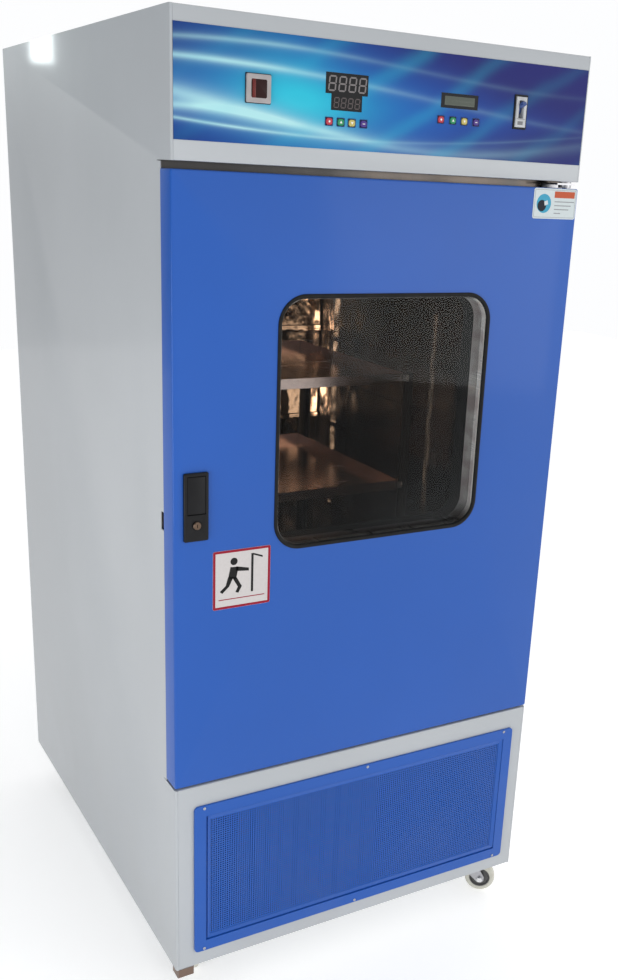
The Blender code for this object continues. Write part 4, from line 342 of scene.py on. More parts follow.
class Signal:
    """A shader socket that takes part in Python expressions."""

    def __init__(self, graph: "Graph", socket: bpy.types.NodeSocket) -> None:
        """Keeps the socket and the node tree that it belongs to."""
        self.graph = graph
        self.socket = socket

    def __add__(self, other: "Signal | float") -> "Signal":
        """self + other."""
        return self.graph.math("ADD", self, other)

    def __radd__(self, other: float) -> "Signal":
        """other + self."""
        return self.graph.math("ADD", other, self)

    def __sub__(self, other: "Signal | float") -> "Signal":
        """self - other."""
        return self.graph.math("SUBTRACT", self, other)

    def __rsub__(self, other: float) -> "Signal":
        """other - self."""
        return self.graph.math("SUBTRACT", other, self)

    def __mul__(self, other: "Signal | float") -> "Signal":
        """self * other."""
        return self.graph.math("MULTIPLY", self, other)

    def __rmul__(self, other: float) -> "Signal":
        """other * self."""
        return self.graph.math("MULTIPLY", other, self)

    def __truediv__(self, other: "Signal | float") -> "Signal":
        """self / other."""
        return self.graph.math("DIVIDE", self, other)

    def __rtruediv__(self, other: float) -> "Signal":
        """other / self."""
        return self.graph.math("DIVIDE", other, self)

    def __pow__(self, other: float) -> "Signal":
        """self to a power."""
        return self.graph.math("POWER", self, other)

    def sine(self) -> "Signal":
        """The sine of the value."""
        return self.graph.math("SINE", self)

    def size(self) -> "Signal":
        """The value without its sign."""
        return self.graph.math("ABSOLUTE", self)

    def least(self, other: "Signal | float") -> "Signal":
        """The smaller of two values."""
        return self.graph.math("MINIMUM", self, other)

    def most(self, other: "Signal | float") -> "Signal":
        """The larger of two values."""
        return self.graph.math("MAXIMUM", self, other)

    def ramp(self, low: float, high: float) -> "Signal":
        """A smooth step from 0 at low to 1 at high."""
        inputs = {"Value": self, "From Min": low, "From Max": high}
        return self.graph.signal("ShaderNodeMapRange", {"interpolation_type": "SMOOTHSTEP"}, inputs, "Result")

    def bell(self, middle: "Signal | float", width: "Signal | float") -> "Signal":
        """A soft hump, 1 at the middle and a half one width away."""
        return 1 / (1 + ((self - middle) / width) ** 2)


class Graph:
    """A shader's node tree and the ways to add to it."""

    def __init__(self, tree: bpy.types.NodeTree) -> None:
        """Keeps the node tree."""
        self.tree = tree

    def node(self, kind: str, settings: dict[str, object], inputs: dict[str | int, object]) -> bpy.types.Node:
        """Adds a node.

        Args:
            kind: the node's type.
            settings: its own settings, set first.
            inputs: values or signals for its sockets, by name or number.

        Returns:
            The node.
        """
        made = self.tree.nodes.new(kind)
        for setting, value in settings.items():
            setattr(made, setting, value)
        for name, value in inputs.items():
            socket = made.inputs[name]
            if isinstance(value, Signal):
                self.link(value, socket)
            elif isinstance(value, tuple) and socket.type == "RGBA":
                socket.default_value = (*value, 1)
            else:
                socket.default_value = value
        return made

    def link(self, signal: Signal, socket: bpy.types.NodeSocket) -> None:
        """Leads a signal to a socket."""
        self.tree.links.new(signal.socket, socket)

    def signal(
        self, kind: str, settings: dict[str, object], inputs: dict[str | int, object], output: str | int = 0
    ) -> Signal:
        """Adds a node and returns one of its outputs."""
        return Signal(self, self.node(kind, settings, inputs).outputs[output])

    def math(self, operation: str, *terms: Signal | float) -> Signal:
        """Adds a Math node and returns its value."""
        return self.signal("ShaderNodeMath", {"operation": operation}, dict(enumerate(terms)))

    def blend(self, share: Signal, first: Signal | Colour, second: Signal | Colour) -> Signal:
        """A colour between two others."""
        return self.signal("ShaderNodeMix", {"data_type": "RGBA"}, {"Factor": share, 6: first, 7: second}, 2)


class Paint(Graph):
    """One material: a Principled shader and the nodes that feed it."""

    def __init__(self, name: str, constants: dict[str, float | Colour]) -> None:
        """Makes the material.

        Args:
            name: its name.
            constants: the shader's values that are the same all over, by socket.
        """
        self.material = bpy.data.materials.new(name)
        self.material.use_nodes = True
        super().__init__(self.material.node_tree)
        self.shader = self.tree.nodes["Principled BSDF"]
        for socket, value in constants.items():
            self.shader.inputs[socket].default_value = (*value, 1) if isinstance(value, tuple) else value
        self.place = self.signal("ShaderNodeTexCoord", {}, {}, "Object")

    def along(self, axis: Axis) -> Signal:
        """The place along one axis, in metres in the frame's space."""
        return self.signal("ShaderNodeSeparateXYZ", {}, {0: self.place}, axis.value)

    def noise(self, scale: float, detail: float, stretch: Point = (1, 1, 1)) -> Signal:
        """Soft noise from 0 to 1, with so many lumps to the metre."""
        where = self.signal("ShaderNodeVectorMath", {"operation": "MULTIPLY"}, {0: self.place, 1: stretch})
        return self.signal("ShaderNodeTexNoise", {}, {"Vector": where, "Scale": scale, "Detail": detail})

    def stripes(self, axis: Axis, per_metre: float) -> Signal:
        """Soft stripes from 0 to 1, square to an axis."""
        return (self.along(axis) * (per_metre * math.pi)).sine().size()

    def tones(self, share: Signal, colour: Colour, dark: float, light: float) -> Signal:
        """A colour that goes between two shades of itself."""
        return self.blend(share, shade(colour, dark), shade(colour, light))

    def bump(self, height: Signal, depth: float, over: Signal | None = None) -> Signal:
        """A normal from a height.

        Args:
            height: the height, from 0 to 1.
            depth: the height of 1 in metres.
            over: the normal that it lies on, if there is one.

        Returns:
            The normal.
        """
        inputs = {"Height": height, "Distance": depth, "Strength": 1.0}
        if over:
            inputs["Normal"] = over
        return self.signal("ShaderNodeBump", {}, inputs, "Normal")

    def feed(self, **sockets: Signal) -> Material:
        """Leads signals to the shader.

        Args:
            sockets: the signals by socket, with _ for a space in its name.

        Returns:
            The material.
        """
        for name, signal in sockets.items():
            self.link(signal, self.shader.inputs[name.replace("_", " ")])
        return self.material


# Finishes


@dataclass(frozen=True)
class PowderCoat:
    """Baked powder paint on folded sheet: fine orange peel, faint sheet waves, dust low down."""

    name: str
    colour: Colour
    gloss: float = 0.40
    coat: float = 0.32
    coat_gloss: float = 0.10
    shine: float = 0.5
    cloud_per_metre: float = 1.7
    cloud_shades: Pair = (0.95, 1.04)
    speck_per_metre: float = 140
    smudge_per_metre: float = 5
    peel_per_metre: float = 520
    peel_depth: float = 0.00005
    wave_per_metre: float = 2.6
    wave_depth: float = 0.0016
    dust: Colour = (0.42, 0.40, 0.36)
    dust_share: float = 0.10
    dust_per_metre: float = 9
    dust_heights: Pair = (0.08, 0.55)

    def paint(self) -> Material:
        """Mixes the finish.

        Returns:
            The material.
        """
        constants = {"Coat Weight": self.coat, "Coat Roughness": self.coat_gloss, "Specular IOR Level": self.shine}
        mix = Paint(self.name, constants)
        tone = mix.tones(mix.noise(self.cloud_per_metre, 4).ramp(0.3, 0.7), self.colour, *self.cloud_shades)
        low = 1 - mix.along(Axis.Z).ramp(*self.dust_heights)
        dusty = low * mix.noise(self.dust_per_metre, 5).ramp(0.35, 0.75) * self.dust_share
        speck = mix.noise(self.speck_per_metre, 2)
        smudge = mix.noise(self.smudge_per_metre, 6, (1, 1, 0.35)).ramp(0.5, 0.8)
        rough = self.gloss + 0.05 * speck + 0.06 * smudge + 0.25 * dusty
        peel = mix.bump(mix.noise(self.peel_per_metre, 1), self.peel_depth)
        wave = mix.bump(mix.noise(self.wave_per_metre, 1), self.wave_depth, peel)
        return mix.feed(Base_Color=mix.blend(dusty, tone, self.dust), Roughness=rough, Normal=wave)


@dataclass(frozen=True)
class BrushedSteel:
    """Stainless sheet, brushed one way, with soft dents and wipe marks.

    Behind a given depth it is painted brighter and warmer, a painted reflection, and in front of another it is flat
    and painted darker, a painted shadow.
    """

    name: str
    tint: Colour
    grain: Axis
    rough: float = 0.10
    grain_per_metre: float = 900
    grain_pull: float = 0.012
    grain_depth: float = 0.00003
    grain_shades: Pair = (0.86, 1.08)
    dent_per_metre: float = 14
    dent_depth: float = 0.0060
    stain: Colour = (0.30, 0.20, 0.13)
    stain_share: float = 0.2
    stain_per_metre: float = 4.5
    wipe_per_metre: float = 14
    polished: Colour | None = None
    painted_reflection_from: float = 0.0
    painted_reflection_fade: float = 0.06
    flat_and_shadowed_before: float | None = None
    painted_shadow_factor: float = 0.5
    flat_and_shadowed_fade: float = 0.05

    def paint(self) -> Material:
        """Mixes the finish.

        Returns:
            The material.
        """
        mix = Paint(self.name, {"Metallic": 1.0})
        pull = tuple(self.grain_pull if axis is self.grain else 1.0 for axis in Axis)
        hair = mix.noise(self.grain_per_metre, 2, pull)
        tone = mix.tones(hair, self.tint, *self.grain_shades)
        # Painted reflection: behind a given depth the tint turns brighter and warmer.
        if self.polished:
            rear = mix.along(Axis.Y).ramp(self.painted_reflection_from, self.painted_reflection_from + self.painted_reflection_fade)
            tone = mix.blend(rear, tone, mix.tones(hair, self.polished, 0.9, 1.0))
        swell = mix.noise(self.dent_per_metre, 2)
        # Painted shadow: in front of a given depth the dents are flattened and the tint is darkened.
        if self.flat_and_shadowed_before is not None:
            behind = mix.along(Axis.Y).ramp(self.flat_and_shadowed_before, self.flat_and_shadowed_before + self.flat_and_shadowed_fade)
            swell = swell * behind
            tone = mix.blend(behind, shade(self.tint, self.painted_shadow_factor), tone)
        worn = mix.noise(self.stain_per_metre, 5).ramp(0.45, 0.75) * self.stain_share
        rough = self.rough + 0.08 * hair + 0.10 * mix.noise(self.wipe_per_metre, 4).ramp(0.4, 0.8)
        grain = mix.bump(hair, self.grain_depth, mix.bump(swell, self.dent_depth))
        return mix.feed(Base_Color=mix.blend(worn, tone, self.stain), Roughness=rough, Normal=grain)


@dataclass(frozen=True)
class SatinAluminium:
    """Mill-finish strip round the window: satin, finger-marked, painted near-black towards its sill and under its
    head, a painted shadow, with a painted highlight along its front lip.

    The painted shadows and the painted highlight are given as distances from the heights sill and head and the depth
    front.
    """

    name: str
    sill: float
    head: float
    front: float
    # A pale warm tint, partly painted warm light.
    tint: Colour = (0.98, 0.86, 0.85)
    mark_shades: Pair = (0.60, 1.15)
    lip_highlight_tint: Colour = (1.0, 0.95, 0.90)
    lip: Pair = (0.0008, 0.0022)
    sill_shadow: Pair = (0.010, 0.055)
    painted_shadow_tone: float = 0.03
    shadow: Pair = (0.014, 0.007)
    rough: float = 0.30
    metal: float = 0.2
    draw_per_metre: float = 500
    draw_depth: float = 0.00003
    mark_per_metre: float = 16

    def paint(self) -> Material:
        """Mixes the finish.

        Returns:
            The material.
        """
        mix = Paint(self.name, {})
        drawn = mix.noise(self.draw_per_metre, 2, (1, 0.03, 1))
        mark = mix.noise(self.mark_per_metre, 4, (1, 1, 1.6)).ramp(0.35, 0.7)
        # Painted shadow: near-black and not metallic towards the sill and just under the head.
        height = mix.along(Axis.Z)
        above_sill_shadow = height.ramp(self.sill + self.sill_shadow[0], self.sill + self.sill_shadow[1])
        out_of_shadow = above_sill_shadow * (1 - height.ramp(self.head - self.shadow[0], self.head - self.shadow[1]))
        # Painted highlight: a bright band along the front lip.
        lip = 1 - mix.along(Axis.Y).ramp(self.front + self.lip[0], self.front + self.lip[1])
        bare = mix.blend(lip, mix.tones(mark, self.tint, *self.mark_shades), self.lip_highlight_tint)
        tone = mix.blend(out_of_shadow, shade(self.tint, self.painted_shadow_tone), bare)
        rough = self.rough + 0.15 * drawn - 0.12 * mark
        normal = mix.bump(drawn, self.draw_depth)
        return mix.feed(Base_Color=tone, Roughness=rough, Metallic=out_of_shadow * self.metal, Normal=normal)


@dataclass(frozen=True)
class PlatedSteel:
    """Zinc or nickel plate with a faint crystal mottle."""

    name: str
    tint: Colour
    rough: float = 0.30
    mottle_per_metre: float = 160
    mottle_depth: float = 0.00004
    mottle_shades: Pair = (0.72, 1.12)
    dull_per_metre: float = 26

    def paint(self) -> Material:
        """Mixes the finish.

        Returns:
            The material.
        """
        mix = Paint(self.name, {"Metallic": 1.0})
        mottle = mix.noise(self.mottle_per_metre, 3)
        dull = mix.noise(self.dull_per_metre, 4).ramp(0.4, 0.75)
        tone = mix.tones(mottle, self.tint, *self.mottle_shades)
        rough = self.rough + 0.14 * mottle + 0.12 * dull
        return mix.feed(Base_Color=tone, Roughness=rough, Normal=mix.bump(mottle, self.mottle_depth))


@dataclass(frozen=True)
class Moulding:
    """Moulded plastic with a fine spark-eroded grain."""

    name: str
    colour: Colour
    rough: float = 0.38
    grain_per_metre: float = 1400
    grain_depth: float = 0.00004
    wear_per_metre: float = 38
    wear_shades: Pair = (0.9, 1.18)
    coat: float = 0.0
    coat_gloss: float = 0.08
    shine: float = 0.5

    def paint(self) -> Material:
        """Mixes the finish.

        Returns:
            The material.
        """
        constants = {"Coat Weight": self.coat, "Coat Roughness": self.coat_gloss, "Specular IOR Level": self.shine}
        mix = Paint(self.name, constants)
        grain = mix.noise(self.grain_per_metre, 2)
        worn = mix.noise(self.wear_per_metre, 4).ramp(0.35, 0.8)
        tone = mix.tones(worn, self.colour, *self.wear_shades)
        rough = self.rough + 0.10 * grain + 0.06 * worn
        return mix.feed(Base_Color=tone, Roughness=rough, Normal=mix.bump(grain, self.grain_depth))


@dataclass(frozen=True)
class Rubber:
    """Extruded rubber: matt, with a chalky bloom and a fine skin."""

    name: str
    colour: Colour
    bloom: Colour
    rough: float = 0.55
    shine: float = 0.2
    bloom_per_metre: float = 60
    bloom_share: float = 0.35
    skin_per_metre: float = 1100
    skin_depth: float = 0.00005

    def paint(self) -> Material:
        """Mixes the finish.

        Returns:
            The material.
        """
        mix = Paint(self.name, {"Specular IOR Level": self.shine})
        chalk = mix.noise(self.bloom_per_metre, 5).ramp(0.45, 0.85)
        skin = mix.noise(self.skin_per_metre, 2)
        tone = mix.blend(chalk * self.bloom_share, self.colour, self.bloom)
        return mix.feed(Base_Color=tone, Roughness=self.rough + 0.12 * skin, Normal=mix.bump(skin, self.skin_depth))


@dataclass(frozen=True)
class PaintedCasting:
    """Cast iron or pressed shell under thick machine enamel, with oily patches."""

    name: str
    colour: Colour
    rough: float = 0.4
    metal: float = 0.1
    coat: float = 0.2
    sand_per_metre: float = 330
    sand_depth: float = 0.0003
    oil_per_metre: float = 11
    oil_shade: float = 0.55

    def paint(self) -> Material:
        """Mixes the finish.

        Returns:
            The material.
        """
        mix = Paint(self.name, {"Metallic": self.metal, "Coat Weight": self.coat})
        sand = mix.noise(self.sand_per_metre, 3)
        oil = mix.noise(self.oil_per_metre, 4).ramp(0.5, 0.8)
        tone = mix.tones(oil, self.colour, 1.0, self.oil_shade)
        rough = self.rough + 0.15 * sand - 0.12 * oil
        return mix.feed(Base_Color=tone, Roughness=rough, Normal=mix.bump(sand, self.sand_depth))


@dataclass(frozen=True)
class FinnedCoil:
    """Thin fins packed along x, with the copper tubes showing as warm bands and the slits between the fins painted
    dark, a painted shade.
    """

    name: str
    fin: Colour = (0.20, 0.21, 0.22)
    fin_shade: float = 0.8
    painted_slit_shadow: float = 0.2
    tube: Colour = (0.30, 0.15, 0.09)
    tube_share: float = 0.7
    metal: float = 0.9
    fins_per_metre: float = 460
    fin_depth: float = 0.0006
    rows_per_metre: float = 40
    dirt_per_metre: float = 90

    def paint(self) -> Material:
        """Mixes the finish.

        Returns:
            The material.
        """
        mix = Paint(self.name, {"Metallic": self.metal})
        comb = mix.stripes(Axis.X, self.fins_per_metre).ramp(0.2, 0.7)
        rows = mix.stripes(Axis.Z, self.rows_per_metre).ramp(0.86, 0.98)
        tone = mix.blend(rows * self.tube_share, shade(self.fin, self.fin_shade), self.tube)
        # Painted shade: the slits between the fins are painted dark.
        lit = mix.blend(comb, shade(self.fin, self.painted_slit_shadow), tone)
        rough = 0.35 + 0.2 * mix.noise(self.dirt_per_metre, 3)
        return mix.feed(Base_Color=lit, Roughness=rough, Normal=mix.bump(comb, self.fin_depth))


@dataclass(frozen=True)
class FoamFill:
    """Cut polyurethane foam."""

    name: str
    colour: Colour = (0.62, 0.52, 0.30)
    rough: float = 0.95
    cell_per_metre: float = 420
    cell_depth: float = 0.0008
    cell_shade: float = 0.7

    def paint(self) -> Material:
        """Mixes the finish.

        Returns:
            The material.
        """
        mix = Paint(self.name, {"Roughness": self.rough})
        cell = mix.noise(self.cell_per_metre, 3)
        tone = mix.tones(cell, self.colour, self.cell_shade, 1.0)
        return mix.feed(Base_Color=tone, Normal=mix.bump(cell, self.cell_depth))


@dataclass(frozen=True)
class ClearGlass:
    """Clear float glass: seen through, with a surface gleam that grows towards grazing, and faint smears."""

    name: str
    tint: Colour = (0.79, 0.80, 0.80)
    mirror: Colour = (0.93, 0.95, 0.97)
    index: float = 1.5
    gleam: float = 0.12
    smear_gleam: float = 0.003
    smear_per_metre: float = 7

    def paint(self) -> Material:
        """Mixes the finish.

        Returns:
            The material.
        """
        mix = Paint(self.name, {"Base Color": self.mirror, "Metallic": 1.0})
        clear = mix.signal("ShaderNodeBsdfTransparent", {}, {"Color": self.tint})
        edge = mix.signal("ShaderNodeFresnel", {}, {"IOR": self.index})
        smear = mix.noise(self.smear_per_metre, 5, (1, 1, 0.5)).ramp(0.45, 0.8)
        share = (edge * self.gleam + self.smear_gleam * smear).least(1.0)
        gleam = Signal(mix, mix.shader.outputs[0])
        pane = mix.signal("ShaderNodeMixShader", {}, {0: share, 1: clear, 2: gleam})
        mix.link(pane, mix.tree.nodes["Material Output"].inputs["Surface"])
        return mix.feed(Roughness=0.02 + 0.08 * smear)


@dataclass(frozen=True)
class PrintedPanel:
    """The head's printed film: deep blue with soft sweeping bands of light, under a gloss varnish.

    Each band has a height, a sag, a pace, a width and a strength, in shares of the panel's size.
    """

    name: str
    left: float
    low: float
    width: float
    height: float
    bands: tuple[tuple[float, float, float, float, float], ...] = (
        (0.30, 0.26, 3.1, 0.085, 0.80),
        (0.52, -0.20, 2.6, 0.035, 0.85),
        (0.16, 0.14, 5.2, 0.045, 0.75),
        (0.80, 0.10, 4.0, 0.030, 0.50),
        (0.44, 0.34, 1.9, 0.018, 0.70),
    )
    deep: Colour = (0.010, 0.012, 0.135)
    mid: Colour = (0.006, 0.062, 0.370)
    bright: Colour = (0.020, 0.480, 0.640)
    pale: Colour = (0.420, 0.730, 0.760)
    shine: float = 0.12
    lean: float = 0.10
    heart_across: Pair = (0.31, 0.19)
    heart_up: Pair = (0.44, 0.26)
    glow_left: Pair = (0.12, 0.24)
    glow_right: Pair = (0.75, 0.2)
    rays: Pair = (0.5, 0.3)
    ray_share: float = 0.22

    def paint(self) -> Material:
        """Mixes the finish.

        Returns:
            The material.
        """
        mix = Paint(self.name, {"Specular IOR Level": self.shine})
        u = (mix.along(Axis.X) - self.left) / self.width
        v = (mix.along(Axis.Z) - self.low) / self.height
        slanted = u + self.lean * v
        # A blue field that fades to the edges, with a bright heart.
        fade = (1.0 - (slanted - 0.36).size() * 1.35 - (v - 0.4).size() * 0.9 + 0.3 * mix.noise(5, 3)).ramp(0.05, 0.95)
        sky = mix.blend(fade, self.deep, self.mid)
        heart = slanted.bell(*self.heart_across) ** 2 * v.bell(*self.heart_up)
        sky = mix.blend((heart * 1.05).least(1.0), sky, self.bright)
        # The sweeping bands, strong on the left and faint on the right.
        light = sum(
            v.bell(rise + sag * (u * pace + rise * 9).sine(), wide) ** 1.6 * power
            for rise, sag, pace, wide, power in self.bands
        )
        grain = 0.7 + 0.6 * mix.noise(34, 4, (0.25, 1, 1))
        reach = u.bell(*self.glow_left) ** 1.3 + 0.07 * u.bell(*self.glow_right)
        sky = mix.blend((light * reach * grain).least(1.0), sky, self.pale)
        # Fine rays in the middle.
        ray = ((u * 31 - v * 11 + 3 * mix.noise(7, 2)).sine() * 0.5 + 0.5) ** 4
        sky = mix.blend(ray * self.ray_share * u.bell(*self.rays), sky, self.bright)
        return mix.feed(Base_Color=sky, Roughness=0.26 + 0.08 * mix.noise(60, 3))


@dataclass(frozen=True)
class Ink:
    """Screen ink or a cut vinyl sheet: flat colour, faintly mottled."""

    name: str
    colour: Colour
    rough: float = 0.45
    shine: float = 0.15
    cover_per_metre: float = 240
    cover_shades: Pair = (0.92, 1.04)

    def paint(self) -> Material:
        """Mixes the finish.

        Returns:
            The material.
        """
        mix = Paint(self.name, {"Specular IOR Level": self.shine})
        cover = mix.noise(self.cover_per_metre, 3)
        tone = mix.tones(cover, self.colour, *self.cover_shades)
        return mix.feed(Base_Color=tone, Roughness=self.rough + 0.12 * cover)


@dataclass(frozen=True)
class StudioFloor:
    """Pale matt floor with a little light of its own."""

    name: str = "pale_floor"
    colour: Colour = (0.80, 0.80, 0.80)
    cloud_per_metre: float = 1.2
    cloud_shade: float = 0.985
    rough: float = 0.7
    shine: float = 0.2
    glow: float = 0.43
    glow_tint: Colour = (1.0, 1.0, 1.0)

    def paint(self) -> Material:
        """Mixes the finish.

        Returns:
            The material.
        """
        constants = {
            "Roughness": self.rough,
            "Specular IOR Level": self.shine,
            "Emission Color": self.glow_tint,
            "Emission Strength": self.glow,
        }
        mix = Paint(self.name, constants)
        return mix.feed(Base_Color=mix.tones(mix.noise(self.cloud_per_metre, 3), self.colour, self.cloud_shade, 1.0))


class Finishes:
    """The finishes that several pieces share, each made once."""

    def __init__(self) -> None:
        """Mixes every finish."""
        self.grey = PowderCoat("cabinet_grey_paint", (0.425, 0.448, 0.470)).paint()
        self.blue = PowderCoat(
            "door_blue_paint", (0.009, 0.086, 0.400), coat=0.16, shine=0.3, dust_share=0.03
        ).paint()
        # The liner's tint is painted dark all over, a painted shade for the dim chamber; its back takes a painted
        # reflection and its front strip a painted shadow.
        self.chamber = BrushedSteel(
            "chamber_stainless",
            (0.135, 0.130, 0.127),
            Axis.Z,
            0.14,
            dent_per_metre=20,
            dent_depth=0.0030,
            polished=(0.72, 0.64, 0.58),
            painted_reflection_from=CABINET.y + 0.69,
            flat_and_shadowed_before=CABINET.y + 0.07,
        ).paint()
        # Its bright warm tint is partly painted warm light from the chamber.
        self.duct = BrushedSteel(
            "duct_stainless", (0.70, 0.58, 0.49), Axis.Z, 0.08, dent_per_metre=24, dent_depth=0.0032
        ).paint()
        # Its pinkish-brown tint is partly painted warm light from the chamber.
        self.rack = BrushedSteel(
            "rack_stainless", (0.80, 0.62, 0.56), Axis.X, 0.15, dent_depth=0.0012, stain_share=0.08
        ).paint()
        # Near-black, a painted shade that keeps the platform and its posts dark.
        self.frame_steel = BrushedSteel(
            "frame_stainless", (0.055, 0.052, 0.050), Axis.Z, 0.30, dent_depth=0.0006, stain_share=0.05
        ).paint()
        self.lining = BrushedSteel(
            "door_lining_stainless", (0.62, 0.61, 0.60), Axis.Z, 0.16, dent_depth=0.0014, stain_share=0.05
        ).paint()
        self.zinc = PlatedSteel("zinc_plate", (0.50, 0.50, 0.52)).paint()
        self.bright = PlatedSteel("bright_nickel", (0.80, 0.80, 0.81), 0.12).paint()
        self.bronze = PlatedSteel("passivated_bronze", (0.16, 0.11, 0.08), 0.36).paint()
        self.black = Moulding("black_moulding", (0.007, 0.007, 0.008), shine=0.2).paint()
        self.rubber = Rubber("black_rubber", (0.006, 0.006, 0.006), (0.03, 0.03, 0.03)).paint()
        self.tyre = Rubber("grey_tyre", (0.60, 0.59, 0.52), (0.24, 0.19, 0.14), 0.45).paint()
        self.casting = PaintedCasting("machine_enamel", (0.05, 0.055, 0.06)).paint()
        self.coil = FinnedCoil("finned_coil").paint()
        self.foam = FoamFill("cut_foam").paint()
        self.glass = ClearGlass("window_pane").paint()
        self.block = PaintedCasting("brown_block", (0.16, 0.10, 0.07), 0.5).paint()


# Small parts


@dataclass(frozen=True)
class Screw:
    """A pan-head screw with a cross recess. Its crown is given in shares of its radius and height."""

    radius: float = 0.0036
    height: float = 0.0016
    crown: tuple[Pair, ...] = ((1.0, 0), (1.0, 0.35), (0.88, 0.75), (0.66, 1.0))
    recess: float = 0.0007
    recess_reach: float = 0.0022
    recess_waist: float = 0.0007
    steps: int = 16

    def form(self, axis: Axis, u: float, v: float, seat: float, outward: float) -> Form:
        """Shapes one head.

        Args:
            axis: the direction of the screw.
            u, v: its place square to that.
            seat: the place of its seat along the axis.
            outward: 1 or -1, the way its head points.

        Returns:
            The head.
        """
        loops = []
        for wide, rise in self.crown:
            along = seat + outward * self.height * rise
            loops.append([at(axis, a, b, along) for a, b in circle(u, v, self.radius * wide, self.steps)])
        for depth in (0, self.recess):
            along = seat + outward * (self.height - depth)
            loop = []
            for step in range(self.steps):
                turn = 2 * math.pi * step / self.steps
                reach = self.recess_reach if step % 4 == 0 else self.recess_waist
                loop.append(at(axis, u + reach * math.cos(turn), v + reach * math.sin(turn), along))
            loops.append(loop)
        return Form().loft(loops)

    def row(self, places: Iterable[Pair], axis: Axis, seat: float, outward: float) -> Form:
        """Shapes several heads on one seat.

        Args:
            places: their places square to the axis.
            axis: the direction of the screws.
            seat: the place of their seat along the axis.
            outward: 1 or -1, the way their heads point.

        Returns:
            The heads as one form.
        """
        whole = Form()
        for u, v in places:
            whole.join(self.form(axis, u, v, seat, outward))
        return whole


# Sub-assemblies


@dataclass
class Cabinet:
    """The painted shell, its back, its base and the ironwork in the door gap."""

    finishes: Finishes
    screw_inset: float = 0.016
    screw_rows: int = 7
    fold_sheet: float = 0.0017
    fold_skin: float = 0.00005
    fold_notch: float = 0.0025
    fold_end_gap: float = 0.001
    fold_front_gap: float = 0.0004
    fold_rear_gap: float = 0.0001
    block_corner: Pair = (0.003, 0.0008)
    block_size: Pair = (0.030, 0.026)
    block_round: float = 0.001
    paint_skin: float = 0.0002
    paint_rim: float = 0.002
    paint_step: float = 0.0001
    paint_top: float = -0.0003

    def build(self) -> None:
        """Dresses the shell and adds its screws and its edge fold."""
        done = self.finishes
        for node in ("left_side_panel", "right_side_panel", "head_cover", "back_panel", "base_pan"):
            dress(node, done.grey)
        self.front_with_block()
        for node in ("upper_hinge", "lower_hinge", "machine_deck"):
            dress(node, done.zinc)
        dress("strike_bracket", done.bronze)
        dress("cable_gland", done.black)
        dress("insulation_jacket", done.foam)
        self.back_screws()
        self.edge_fold()

    def edge_fold(self) -> None:
        """Adds the side panel's narrow fold that closes the door gap on the left, notched round the strike."""
        _, door_high = local("door_skin")
        liner_low, liner_high = local("chamber_liner")
        strike_low, strike_high = local("strike_bracket")
        fold = Form()
        for low, high in (
            (liner_low.z + self.fold_end_gap, strike_low.z - self.fold_notch),
            (strike_high.z + self.fold_notch, liner_high.z - self.fold_end_gap),
        ):
            outline = box_outline(self.fold_skin, low, self.fold_sheet, high)
            fold.prism(outline, Axis.Y, door_high.y + self.fold_front_gap, liner_low.y - self.fold_rear_gap)
        fold.make("left_edge_fold", "cabinet", self.finishes.grey, "cabinet_grey")

    def front_with_block(self) -> None:
        """Dresses the base's front, and gives the block under its corner a brown sleeve of paint."""
        dress("base_front_panel", self.finishes.grey)
        bottom = local("base_front_panel")[0].z
        left, front = self.block_corner
        block = (left, front, left + self.block_size[0], front + self.block_size[1])
        outside, hollow = drawn_in(block, -self.paint_skin), drawn_in(block, self.paint_rim)
        stages = (
            (outside, self.paint_top),
            (outside, bottom),
            (hollow, bottom),
            (hollow, bottom + self.paint_step),
            (block, bottom + self.paint_step),
            (block, self.paint_top),
        )
        loops = [[at(Axis.Z, u, v, z) for u, v in rounded(*edges, self.block_round, 3)] for edges, z in stages]
        Form().loft(loops, ring=True).make("corner_block_paint", "cabinet", self.finishes.block, "cabinet_grey")

    def back_screws(self) -> None:
        """Adds the pan heads that hold the back panel."""
        low, high = local("back_panel")
        places = []
        for row in range(self.screw_rows):
            z = low.z + self.screw_inset + (high.z - low.z - 2 * self.screw_inset) * row / (self.screw_rows - 1)
            places += [(low.x + self.screw_inset, z), (high.x - self.screw_inset, z)]
        middle = (low.x + high.x) / 2
        places += [(middle, low.z + self.screw_inset), (middle, high.z - self.screw_inset)]
        Screw().row(places, Axis.Y, high.y, 1).make("back_screws", "cabinet", self.finishes.bright, "zinc_steel")


